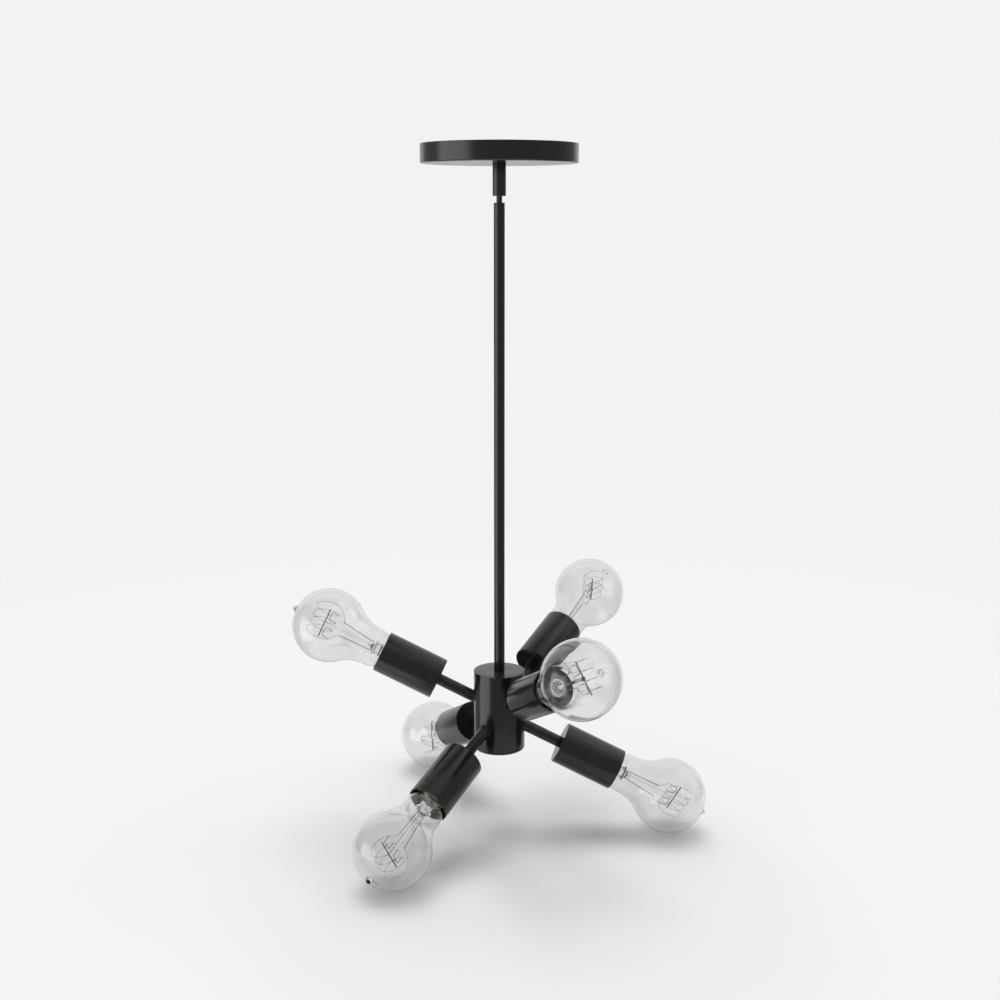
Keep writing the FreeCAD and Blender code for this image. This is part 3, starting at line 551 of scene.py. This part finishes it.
# %% Drum and lid
DRUM_WALL = 2.0 * MM
DRUM_TOP = 3.0 * MM
SPIGOT_WALL = 1.5 * MM
LID_PLATE = 2.6 * MM
LID_ROUND = 1.8 * MM
stem_hole = STEM_THREAD + FIT
drum_inside = drum_radius - DRUM_WALL
drum_ceiling = drum_high - DRUM_TOP
drum = lathe("drum_shell", softened([
    (stem_hole, drum_high, 0.1 * MM), (drum_radius, drum_high, 0.25 * MM),
    (drum_radius, drum_low, 0.12 * MM), (drum_inside, drum_low, 0.2 * MM),
    (drum_inside, drum_ceiling, 0.6 * MM), (stem_hole, drum_ceiling, 0.1 * MM)]), sides=160)
finish_piece(drum, black_paint, "stem", "hub_body")

lid_low, lid_high, lid_radius = reach("hub_lid")
spigot = drum_inside - FIT
plate_top = lid_low + LID_PLATE
lid_side = softened([
    (lid_radius, lid_low, LID_ROUND), (lid_radius, plate_top, 0.12 * MM), (spigot, plate_top, 0.1 * MM),
    (spigot, lid_high, 0.3 * MM), (spigot - SPIGOT_WALL, lid_high, 0.3 * MM),
    (spigot - SPIGOT_WALL, plate_top, 0.4 * MM), (0.1 * MM, plate_top), (0.1 * MM, lid_low)], 8)[:-2]
lid = lathe("drum_lid", np.concatenate([[[0, lid_low]], lid_side, [[0, plate_top]]]), sides=160)
finish_piece(lid, black_paint, "stem", "hub_lid")

# %% Arms and brazing beads
ARM_BORE = 3.1 * MM
ARM_THREAD = 4.15 * MM
BEAD = 0.55 * MM


def make_arm(number):
    """A plain tube with its thread beyond the shoulder that the cup stands on; gives its radius."""
    place = FRAMES[number]
    start, end, radius = reach("arm_%d" % number, place)
    cup_start = reach("cup_%d" % number, place)[0]
    arm = lathe("arm_tube_%d" % number, softened([
        (ARM_BORE, start, 0.1 * MM), (radius, start, 0.2 * MM), (radius, cup_start, 0.12 * MM),
        (ARM_THREAD, cup_start, 0.05 * MM), (ARM_THREAD, end, 0.3 * MM), (ARM_BORE, end, 0.1 * MM)]),
        place, 48)
    finish_piece(arm, black_paint, "stem", "arm_%d" % number)
    return radius


def make_bead(number, arm_radius):
    """The brazing round an arm: a thin ring that follows the line where the tube enters the drum.

    At angle a round the arm, the tube's edge is the point p + arm_radius (X cos a + Y sin a). Moving it
    along the arm until its distance from the stem's line is the drum's radius is one quadratic equation.
    """
    axes, origin = FRAMES[number]
    angle = np.linspace(0, 2 * math.pi, 96, endpoint=False)
    edge = arm_radius * (np.outer(np.cos(angle), axes[:, 0]) + np.outer(np.sin(angle), axes[:, 1]))
    out = axes[:, 2]
    a = out[0] ** 2 + out[1] ** 2
    b = 2 * (edge[:, 0] * out[0] + edge[:, 1] * out[1])
    c = edge[:, 0] ** 2 + edge[:, 1] ** 2 - drum_radius ** 2
    along = (-b + np.sqrt(b * b - 4 * a * c)) / (2 * a)
    path = origin + edge + along[:, None] * out
    bead = wire("braze_%d" % number, path, BEAD, out, closed=True, sides=12)
    finish_piece(bead, black_paint, "stem")


for number in ARMS:
    arm_radius = make_arm(number)
    make_bead(number, arm_radius)
print("arms %.1f mm across" % (2 * arm_radius / MM))

# %% [markdown]
# ## Cups and lampholders
#
# A cup is a drawn steel tube with a flat floor and a clean cut mouth. Inside sits a moulded lampholder with
# a rolled brass shell. Only its front ring and a turn or two of brass can be glimpsed past the lamp's neck,
# but those are what make the mouth of the cup look real.

# %% Cup, holder and screw shell
CUP_WALL = 1.0 * MM
CUP_FLOOR = 1.2 * MM
HEEL_RADIUS = 9.5 * MM
HEEL_LENGTH = 4.0 * MM
NUT_ROOM_RADIUS = 9.0 * MM
NUT_ROOM = (5.8 * MM, 11.0 * MM)
CONTACT_HOLE = 1.6 * MM
SHELL_BACK = 0.3 * MM
THREAD_PITCH = 3.63 * MM
FADE_PITCHES = 0.6
SHELL_WALL = 0.25 * MM


def threaded(name, radius, depth, wall, start, end, place, lips=(), steps=14, sides=72):
    """A rolled screw shell. At height z and angle a the outside's radius is

        radius - depth / 2 (1 - cos(2 pi z / pitch - a))

    and the wave fades out towards both ends. Both faces of the sheet carry it. The lips are extra
    (radius, height) points that close the section's back.
    """
    rows = int((end - start) / THREAD_PITCH * steps)
    height = np.linspace(start, end, rows)
    angle = np.linspace(0, 2 * math.pi, sides, endpoint=False)
    fade = np.clip(np.minimum(height - start, end - height) / (FADE_PITCHES * THREAD_PITCH), 0, 1)[:, None]
    wave = 0.5 * depth * (1 - np.cos(2 * math.pi * height[:, None] / THREAD_PITCH - angle[None])) * fade
    outer = radius - wave
    radii = np.concatenate([outer, (outer - wall)[::-1]])
    heights = np.concatenate([height, height[::-1]])
    lips = np.reshape(lips, (-1, 2))
    radii = np.concatenate([radii, np.repeat(lips[:, :1], sides, 1)])
    heights = np.concatenate([heights, lips[:, 1]])
    grid = np.stack([radii * np.cos(angle), radii * np.sin(angle),
                     np.repeat(heights[:, None], sides, 1)], axis=-1)
    return put_mesh(name, grid, True, place)


def make_cup(number):
    """Cup, holder and shell of one arm; the shell is returned, to be joined with the other five."""
    place = FRAMES[number]
    start, end, radius = reach("cup_%d" % number, place)
    cup_hole = ARM_THREAD + FIT
    cup = lathe("cup_shell_%d" % number, softened([
        (cup_hole, start, 0.1 * MM), (radius, start, 0.45 * MM), (radius, end, 0.25 * MM),
        (radius - CUP_WALL, end, 0.25 * MM), (radius - CUP_WALL, start + CUP_FLOOR, 0.5 * MM),
        (cup_hole, start + CUP_FLOOR, 0.1 * MM)]), place, 128)
    finish_piece(cup, black_paint, "stem", "cup_%d" % number)

    back, front, body_radius = reach("holder_%d" % number, place)
    heel, room_start, room_end = (back + up for up in (HEEL_LENGTH, *NUT_ROOM))
    shell_points = (node_points("screw_shells") - place[1]) @ place[0]
    near = shell_points[np.hypot(shell_points[:, 0], shell_points[:, 1]) < radius]
    near = near[(near[:, 2] > start) & (near[:, 2] < end)]
    shelf, shell_end = near[:, 2].min(), near[:, 2].max()
    bore = np.hypot(near[:, 0], near[:, 1]).max()
    holder = lathe("holder_body_%d" % number, softened([
        (cup_hole, back, 0.1 * MM), (HEEL_RADIUS, back, 0.4 * MM), (HEEL_RADIUS, heel, 0.3 * MM),
        (body_radius, heel, 0.6 * MM), (body_radius, front, 0.4 * MM), (bore, front, 0.2 * MM),
        (bore, shelf, 0.1 * MM), (CONTACT_HOLE, shelf, 0.1 * MM), (CONTACT_HOLE, room_end),
        (NUT_ROOM_RADIUS, room_end), (NUT_ROOM_RADIUS, room_start), (cup_hole, room_start)]), place, 96)
    finish_piece(holder, phenolic, "stem", "holder_%d" % number)
    return threaded("shell_%d" % number, bore, 0.0, SHELL_WALL, shelf + SHELL_BACK, shell_end, place)


shells = joined("rolled_shells", [make_cup(number) for number in ARMS])
finish_piece(shells, brass, "stem", "screw_shells")

# %% [markdown]
# ## The lamp's glass
#
# Old household lamps were blown to one easy curve: a ball, a hollow waist, a straight neck. Three arcs that
# touch each other make it. The glass was sealed off at the crown while soft, which leaves a small pip. The
# tight hollow round its foot bends the light so strongly that it reads as a dark eye.

# %% Envelope
bulb_start, bulb_end, bulb_radius = reach("bulb_glass_1", FRAMES[1])
PIP_REACH = 33.3 * MM
PIP_RADIUS = 1.9 * MM
PIP_FILLET = 2.2 * MM
WAIST = 31.0 * MM
NECK = 16.2 * MM
RIM_RADIUS = 12.4 * MM
RIM_BACK = 51.5 * MM
GLASS_WALL = 0.7 * MM
lamp_centre = bulb_end - PIP_REACH
print("lamp centres %.1f mm out, ball %.1f mm across" % (lamp_centre / MM, 2 * bulb_radius / MM))


def envelope_side(inset):
    """The blown curve from where it leaves the ball to the open rim, moved in by a wall.

    The waist's circle touches the ball from outside, so their centres are the sum of their radii apart,
    and it touches the straight neck, so its centre is the neck plus its radius from the axis. The ball's
    radius comes first, and last the angle at which the curve leaves it.
    """
    ball, waist, neck, rim = bulb_radius - inset, WAIST + inset, NECK - inset, RIM_RADIUS - inset
    back = math.sqrt((ball + waist) ** 2 - (neck + waist) ** 2)
    lean = math.degrees(math.atan2(back, neck + waist))
    run = RIM_BACK - back
    fall = neck - rim
    shoulder = (fall ** 2 + run ** 2) / (2 * fall)
    turn = math.degrees(math.asin(run / shoulder))
    return ball, np.concatenate([
        arc((neck + waist, lamp_centre - back), waist, 180 - lean, 180, 20),
        arc((neck - shoulder, lamp_centre - back), shoulder, 0, -turn, 12)[1:],
        [[rim, bulb_start]]]), -lean


def envelope_section():
    """Outside from the pip's tip down to the rim, then inside back up to the crown.

    The fillet's circle touches the ball and the pip's round end from outside, and its centre follows
    from its distances to theirs.
    """
    ball, side, low_turn = envelope_side(0.0)
    knob = PIP_REACH - PIP_RADIUS
    rise = ((ball + PIP_FILLET) ** 2 - (PIP_RADIUS + PIP_FILLET) ** 2 + knob ** 2) / (2 * knob)
    nook = math.sqrt((ball + PIP_FILLET) ** 2 - rise ** 2)
    on_ball = math.degrees(math.atan2(rise, nook))
    on_knob = math.degrees(math.atan2(rise - knob, nook))
    pip = arc((0, lamp_centre + knob), PIP_RADIUS, 90, on_knob, 10)
    fillet = arc((nook, lamp_centre + rise), PIP_FILLET, 180 + on_knob, 180 + on_ball, 8)
    body = arc((0, lamp_centre), ball, on_ball, low_turn, 60)
    inner_ball, inner_side, inner_turn = envelope_side(GLASS_WALL)
    inner = arc((0, lamp_centre), inner_ball, 90, inner_turn, 64)
    outside = np.concatenate([pip, fillet[1:], body[1:], side[1:]])
    inside = np.concatenate([inner, inner_side[1:]])
    outside[0, 0] = inside[0, 0] = 0.0
    return np.concatenate([outside, inside[::-1]])


# %% [markdown]
# ## The lamp's cap
#
# The cap is thin rolled brass with the same thread as the shell, closed by a cone of black glass that
# carries the solder button. It is crimped on the glass just behind the shoulder.

# %% Cap
CAP_THREAD = 0.75 * MM
CAP_WALL = 0.3 * MM
CAP_SHOULDER = 5.8 * MM
CAP_LIP = 0.3 * MM
CONE_RADIUS = 9.8 * MM
CONE_EDGE = (2.8 * MM, 3.1 * MM)
INSULATOR_RADII = (5.4 * MM, 9.4 * MM)
INSULATOR_HEIGHTS = (1.0 * MM, 2.9 * MM, 3.4 * MM)
BUTTON_RADIUS = 4.6 * MM
BUTTON_HEIGHT = 1.1 * MM


def make_cap(number):
    """Rolled cap, black glass insulator and solder button of one lamp."""
    place = FRAMES[number]
    start, end, radius = reach("bulb_base_%d" % number, place)
    body = "bulb_%d" % number
    shoulder = start + CAP_SHOULDER
    outer_edge, inner_edge = (start + up for up in CONE_EDGE)
    cap = threaded("lamp_cap_%d" % number, radius, CAP_THREAD, CAP_WALL, shoulder, end - CAP_LIP, place,
                   [(radius - CAP_WALL, shoulder), (CONE_RADIUS - CAP_WALL, inner_edge),
                    (CONE_RADIUS, outer_edge)])
    finish_piece(cap, brass, body, "bulb_base_%d" % number)
    small, large = INSULATOR_RADII
    face, brim, back = (start + up for up in INSULATOR_HEIGHTS)
    insulator = lathe("cap_insulator_%d" % number, capped([
        (small, face, 0.3 * MM), (large, brim, 0.5 * MM), (large, back, 0.2 * MM)]), place, 64)
    finish_piece(insulator, black_glass, body)
    button = lathe("cap_button_%d" % number, capped([
        (BUTTON_RADIUS, start, 0.8 * MM), (BUTTON_RADIUS, start + BUTTON_HEIGHT, 0.3 * MM)]), place, 48)
    finish_piece(button, solder, body)


# %% [markdown]
# ## The mount and its wires
#
# Inside the neck a flare of glass is pinched round two lead wires, and a glass rod stands on it. The rod's
# end holds a dark cross wire with two staples behind it, and the filament is looped over their four feet.
# It goes round as a flattened helix: it reaches far out in front of the cross wire, and behind that it
# hangs on the feet. A small lean carries the front of each loop sideways, as the photograph shows.

# %% Mount
PRESS_BACK = 36.5 * MM
PRESS_RADIUS = 4.8 * MM
PRESS_DEPTH = 5.5 * MM
WAIST_UP = 8.0 * MM
WAIST_RADIUS = PRESS_RADIUS - 0.4 * MM
BRIM_UP = 0.2 * MM
FLARE_WALL = 1.0 * MM
BRIM_POINTS_CUT = 6
ROD_RADIUS = 1.2 * MM
ROD_FILLET = 1.2 * MM
ROD_KNOB = 1.7 * MM
ROD_TIP = 0.8 * MM
BAR_AHEAD = 4.5 * MM


def mount_section():
    """Half section of the flare: press at the front, flare behind it, hollow inside.

    The brim's outside ends part of the way round its rounding, where the inside's takes over.
    """
    front = lamp_centre - PRESS_BACK
    waist, low = bulb_start + WAIST_UP, bulb_start + BRIM_UP
    brim = RIM_RADIUS - GLASS_WALL - FIT
    outer = softened([(PRESS_RADIUS, front, 1.1 * MM), (WAIST_RADIUS, waist, 6 * MM),
                      (brim, low, 0.3 * MM)], 8)
    inner = softened([(brim - FLARE_WALL, low, 0.3 * MM), (WAIST_RADIUS - FLARE_WALL, waist, 5 * MM),
                      (PRESS_RADIUS - FLARE_WALL, front - PRESS_DEPTH, 1.5 * MM)], 8)
    return np.concatenate([[[0, front]], outer[:-BRIM_POINTS_CUT], inner, [[0, front - PRESS_DEPTH]]])


def rod_section():
    """The support rod: a fillet on the press, and a small ball melted round the cross wire."""
    foot = lamp_centre - PRESS_BACK + FIT
    middle = lamp_centre + BAR_AHEAD + ROD_TIP - ROD_KNOB
    meet = math.degrees(math.acos(ROD_RADIUS / ROD_KNOB))
    wide = ROD_RADIUS + ROD_FILLET
    return np.concatenate([[[0, foot]], [[wide, foot]],
                           arc((wide, foot + ROD_FILLET), ROD_FILLET, 270, 180, 6)[1:],
                           arc((0, middle), ROD_KNOB, -meet, 90, 14)])


# %% Wires of the lamp
LEAD_RADIUS = 0.35 * MM
LEAD_ROOT = 4.0 * MM
LEAD_IN_PRESS = 3.0 * MM
LONG_LEAD = (7.8 * MM, 9.9 * MM)  # its tip: out from the axis, and back from the lamp's centre
SHORT_LEAD = (4.5 * MM, 12.6 * MM)
BAR_RADIUS = 0.45 * MM
BAR_HALF = 12.9 * MM
FOOT_BACK = 8.5 * MM
FOOT_SPREAD = 7.5 * MM
STAPLE_BACK = 2.4 * MM
STAPLE_BEND = 0.7 * MM
STAPLE_RADIUS = 0.22 * MM
LOOPS = 4
LOOP_POINTS = 180
LOOP_AHEAD = 11.8 * MM
LOOP_SIDE = 8.0 * MM
LOOP_LEAN = 2.2 * MM
THREAD_RADIUS = 0.13 * MM


def swept(first, heading, last, arrival, steps=20):
    """A smooth run between two points that leaves and arrives in the directions given.

    It is the cubic p(t) = h00 first + h10 heading + h01 last + h11 arrival, whose weights are the
    Hermite ones, with both directions stretched to the distance between the points.
    """
    first, last = np.asarray(first, float), np.asarray(last, float)
    far = np.linalg.norm(last - first)
    leave, meet = (far * np.asarray(way, float) / np.linalg.norm(way) for way in (heading, arrival))
    t = np.linspace(0, 1, steps + 1)[:, None]
    return ((2 * t ** 3 - 3 * t ** 2 + 1) * first + (t ** 3 - 2 * t ** 2 + t) * leave
            + (3 * t ** 2 - 2 * t ** 3) * last + (t ** 3 - t ** 2) * meet)


def filament_path():
    """The filament from the long lead's tip, over four front loops and four feet, to the short lead's tip.

    With t counting loops from a quarter to four, the point lies at
        x = spacing (2.5 - t) - lean (1 - cos 2 pi t) / 2
        y = side sin 2 pi t
        z = bar + (ahead - back) / 2 - (ahead + back) / 2 cos 2 pi t
    It leaves the long lead sideways, clear behind the first loop, and comes back along the short lead.
    """
    turns = np.linspace(0.25, LOOPS, LOOP_POINTS)
    angle = 2 * math.pi * turns
    middle = lamp_centre + BAR_AHEAD + (LOOP_AHEAD - FOOT_BACK) / 2
    half = (LOOP_AHEAD + FOOT_BACK) / 2
    loops = np.stack([FOOT_SPREAD * ((LOOPS + 1) / 2 - turns) - LOOP_LEAN * (1 - np.cos(angle)) / 2,
                      LOOP_SIDE * np.sin(angle), middle - half * np.cos(angle)], axis=1)
    start = [LONG_LEAD[0], 0, lamp_centre - LONG_LEAD[1]]
    end = [-SHORT_LEAD[0], 0, lamp_centre - SHORT_LEAD[1]]
    inwards = [SHORT_LEAD[0] - LEAD_ROOT, 0, SHORT_LEAD[1] - PRESS_BACK]
    return np.concatenate([swept(start, [1, 0, 0], loops[0], loops[1] - loops[0]), loops[1:-1],
                           swept(loops[-1], loops[-1] - loops[-2], end, inwards)])


def make_wires(number):
    """Leads, cross wire, staples and filament of one lamp."""
    place = ROLLED[number]
    body = "bulb_%d" % number
    sideways = (0, 1, 0)
    press = lamp_centre - PRESS_BACK
    leads = []
    for sign, (side, back) in ((1, LONG_LEAD), (-1, SHORT_LEAD)):
        route = np.array([[sign * LEAD_ROOT, 0, press - LEAD_IN_PRESS], [sign * LEAD_ROOT, 0, press],
                          [sign * side, 0, lamp_centre - back]])
        leads.append(wire("lead", route, LEAD_RADIUS, sideways, place, 12))
    finish_piece(joined("lead_wires_%d" % number, leads), lead_wire, body, "bulb_wires_%d" % number)

    bar = lamp_centre + BAR_AHEAD
    back, tips = bar - STAPLE_BACK, bar - FOOT_BACK
    line = np.linspace((-BAR_HALF, 0, bar), (BAR_HALF, 0, bar), 9)
    cross = [wire("cross", line, BAR_RADIUS, sideways, place, 12)]
    feet = FOOT_SPREAD * ((LOOPS - 1) / 2 - np.arange(LOOPS))
    for first, second in zip(feet[::2], feet[1::2]):
        route = softened([(first, tips), (first, back, STAPLE_BEND),
                          (second, back, STAPLE_BEND), (second, tips)])
        route = np.insert(route, 1, 0.0, axis=1)
        cross.append(wire("staple", route, STAPLE_RADIUS, sideways, place, 10))
        middle = (first + second) / 2
        stalk = np.array([[middle, 0, back], [middle, 0, bar]])
        cross.append(wire("stalk", stalk, STAPLE_RADIUS, sideways, place, 10))
    finish_piece(joined("cross_wires_%d" % number, cross), dark_wire, body)
    filament = wire("filament_%d" % number, filament_path(), THREAD_RADIUS, (1, 0, 0), place, 8)
    finish_piece(filament, filament_wire, body)


# %% Six lamps
def make_lamp(number):
    """All the pieces of one lamp."""
    place, body = FRAMES[number], "bulb_%d" % number
    glass = lathe("envelope_%d" % number, envelope_section(), place, 128)
    finish_piece(glass, clear_glass, body, "bulb_glass_%d" % number)
    make_cap(number)
    flare = lathe("flare_%d" % number, mount_section(), place, 64)
    finish_piece(flare, mount_glass, body, "bulb_mount_%d" % number)
    rod = lathe("support_rod_%d" % number, rod_section(), place, 32)
    finish_piece(rod, mount_glass, body)
    make_wires(number)


for number in ARMS:
    make_lamp(number)

# %% [markdown]
# ## Hidden fittings
#
# The mounting strap, its earth screw, the nipple and the nuts are flat or six-sided and seldom seen, so the
# construction's own shapes stay and only get their finishes.

# %% Finishes of the hidden fittings
HIDDEN = {"mounting_strap": zinc_plate, "ground_screw": green_zinc, "nipple": zinc_plate,
          "nipple_nut": zinc_plate, "stem_nut": zinc_plate, "cup_nuts": zinc_plate,
          "centre_contacts": brass}
for node, material in HIDDEN.items():
    data = frame["nodes"][node].data
    data.materials.clear()
    data.materials.append(material)

# %% [markdown]
# ## Floor and studio
#
# In the photograph the lowest lamps all but touch a pale floor that runs into the background with no line.
# The floor here is a wide disc that fades out, and the background behind it has the same tone. Where black
# metal mirrors the floor, only its nearest part shows, and the rest is left to the environment.
#
# The light is an environment: a big soft box to the left of the camera, a broad one overhead, a narrow one
# on the right, a bright wall behind in two bands, a card below, and little on the camera's side, which
# keeps the middle of each tube deep. One more lamp, overhead and as wide as a window, casts the soft
# shadows and shows in no reflection. The camera sees a plain background in place of the environment, and
# so does a ray that goes nearly straight on through the glass.

# %% Floor
FLOOR_HEIGHT = BOX_BEFORE[0][2] - 1.0 * MM
FLOOR_RADIUS = 3.0
FLOOR_SIDES = 96
FLOOR_TONE = 0.765
FLOOR_FADE = (0.75, 1.3)
MIRRORED_FADE = (0.12, 0.25)


def make_floor_paint():
    """Matt paint that gives way to the background.

    How clear it is, is the greatest of three masks: the distance from the middle, the length of the ray
    where that is a reflection, and whether the floor is met from below.
    """
    material, tree, matt = blank_material("floor_paint")
    for title, value in (("Base Color", (FLOOR_TONE, FLOOR_TONE, FLOOR_TONE, 1.0)), ("Roughness", 1.0),
                         ("Specular IOR Level", 0.0)):
        matt.inputs[title].default_value = value
    where = tree.nodes.new("ShaderNodeTexCoord").outputs["Object"]
    away = add_node(tree, "ShaderNodeVectorMath", [(0, where)], operation="LENGTH").outputs["Value"]
    ray = tree.nodes.new("ShaderNodeLightPath").outputs
    mirrored = maths(tree, "MULTIPLY", ray["Is Glossy Ray"], ramp(tree, ray["Ray Length"], *MIRRORED_FADE))
    below = tree.nodes.new("ShaderNodeNewGeometry").outputs["Backfacing"]
    unseen = maths(tree, "MAXIMUM", maths(tree, "MAXIMUM", ramp(tree, away, *FLOOR_FADE), mirrored), below)
    show_through(tree, matt, unseen)
    return material


floor_mesh = bpy.data.meshes.new("floor")
turn = np.linspace(0, 2 * math.pi, FLOOR_SIDES, endpoint=False)
rim = np.stack([FLOOR_RADIUS * np.cos(turn), FLOOR_RADIUS * np.sin(turn),
                np.full(FLOOR_SIDES, FLOOR_HEIGHT)], axis=1)
floor_mesh.from_pydata(rim, [], [list(range(FLOOR_SIDES))])
add_object("floor", floor_mesh)
floor_mesh.materials.append(make_floor_paint())

# %% Studio light
def direction(turn, lift):
    """Unit vector: turn is degrees to the right of the camera's side, seen from the object."""
    a = math.radians(-90 + CAMERA_TURN + turn)
    e = math.radians(lift)
    return np.array([math.cos(a) * math.cos(e), math.sin(a) * math.cos(e), math.sin(e)])


def make_soft_box(least=0.02):
    """Direction, and the box's own axes, in; brightness of a soft-edged rectangle out.

    The direction is divided by its part along Forward, which lays it on a flat card one unit away. The
    card is lit where both coordinates are inside the half sizes, and only from its front.
    """
    group = bpy.data.node_groups.new("soft_box", "ShaderNodeTree")
    for title in ("Direction", "Forward", "Right", "Up"):
        group.interface.new_socket(title, in_out="INPUT", socket_type="NodeSocketVector")
    for title in ("Half Width", "Half Height", "Edge"):
        group.interface.new_socket(title, in_out="INPUT", socket_type="NodeSocketFloat")
    group.interface.new_socket("Mask", in_out="OUTPUT", socket_type="NodeSocketFloat")
    given = group.nodes.new("NodeGroupInput").outputs
    leave = group.nodes.new("NodeGroupOutput")

    def along(title):
        pair = enumerate((given["Direction"], given[title]))
        return add_node(group, "ShaderNodeVectorMath", pair, operation="DOT_PRODUCT").outputs["Value"]

    ahead = along("Forward")
    safe = maths(group, "MAXIMUM", ahead, least)
    mask = maths(group, "GREATER_THAN", ahead, least)
    for axis, half in (("Right", "Half Width"), ("Up", "Half Height")):
        spot = maths(group, "ABSOLUTE", maths(group, "DIVIDE", along(axis), safe))
        inside = maths(group, "DIVIDE", maths(group, "SUBTRACT", given[half], spot), given["Edge"])
        lit = add_node(group, "ShaderNodeClamp", [("Value", inside)]).outputs[0]
        mask = maths(group, "MULTIPLY", mask, lit)
    link(group, mask, leave.inputs["Mask"])
    return group


SOFT_BOX = make_soft_box()
BOXES = [  # turn, lift, half width, half height, edge, strength
    (-70.0, -8.0, 0.62, 0.6, 0.25, 1.9),
    (20.0, 68.0, 0.9, 0.55, 0.25, 0.3),
    (105.0, 40.0, 0.35, 0.6, 0.15, 0.5),
    (180.0, -12.0, 0.95, 0.36, 0.12, 0.42),
    (180.0, 35.0, 1.3, 0.8, 0.4, 0.5),
    (0.0, -70.0, 1.0, 1.0, 0.35, 1.05),
]
AMBIENT = 0.34
BACKGROUND = 0.887
STRAIGHT_ON = (0.6, 0.8)
OVERHEAD = 1.9
OVERHEAD_ANGLE = 40.0
OVERHEAD_FROM = (-165.0, 76.0)  # turn and lift


def environment(tree, aim):
    """The sum of the soft boxes over an even ambient light, for a direction."""
    total = AMBIENT
    for turn, lift, half_width, half_height, edge, strength in BOXES:
        forward = direction(turn, lift)
        right = np.cross(forward, [0, 0, 1])
        right /= np.linalg.norm(right)
        box = add_node(tree, "ShaderNodeGroup", [
            ("Direction", aim), ("Forward", forward), ("Right", right), ("Up", np.cross(right, forward)),
            ("Half Width", half_width), ("Half Height", half_height), ("Edge", edge)], node_tree=SOFT_BOX)
        total = maths(tree, "MULTIPLY_ADD", box.outputs["Mask"], strength, total)
    return total


def sees_background(tree, aim):
    """1 for camera rays, and for rays through glass that run nearly along the camera's own axis."""
    ray = tree.nodes.new("ShaderNodeLightPath").outputs
    seen = add_node(tree, "ShaderNodeVectorTransform", [("Vector", aim)],
                    convert_from="WORLD", convert_to="CAMERA")
    depth = add_node(tree, "ShaderNodeSeparateXYZ", [(0, seen.outputs["Vector"])]).outputs["Z"]
    straight = ramp(tree, maths(tree, "ABSOLUTE", depth), *STRAIGHT_ON)
    through = maths(tree, "MULTIPLY", ray["Is Transmission Ray"], straight)
    return maths(tree, "MAXIMUM", ray["Is Camera Ray"], through)


overhead = add_object("overhead", bpy.data.lights.new("overhead", "SUN"))
overhead.data.energy = OVERHEAD
overhead.data.angle = math.radians(OVERHEAD_ANGLE)
overhead.visible_glossy = overhead.visible_transmission = False
overhead.rotation_euler = Vector(direction(*OVERHEAD_FROM)).to_track_quat("Z", "Y").to_euler()

world = bpy.data.worlds.new("studio")
world.use_nodes = True
bpy.context.scene.world = world
tree = world.node_tree
tree.nodes.clear()
aim = tree.nodes.new("ShaderNodeTexCoord").outputs["Generated"]
level = add_node(tree, "ShaderNodeMix", [  # input 0 leads from input 2 to input 3
    (0, sees_background(tree, aim)), (2, environment(tree, aim)), (3, BACKGROUND)], data_type="FLOAT")
glow = add_node(tree, "ShaderNodeBackground", [("Color", (1, 1, 1, 1)), ("Strength", level.outputs[0])])
out = tree.nodes.new("ShaderNodeOutputWorld")
link(tree, glow.outputs["Background"], out.inputs["Surface"])
bpy.context.scene.view_settings.view_transform = "Standard"
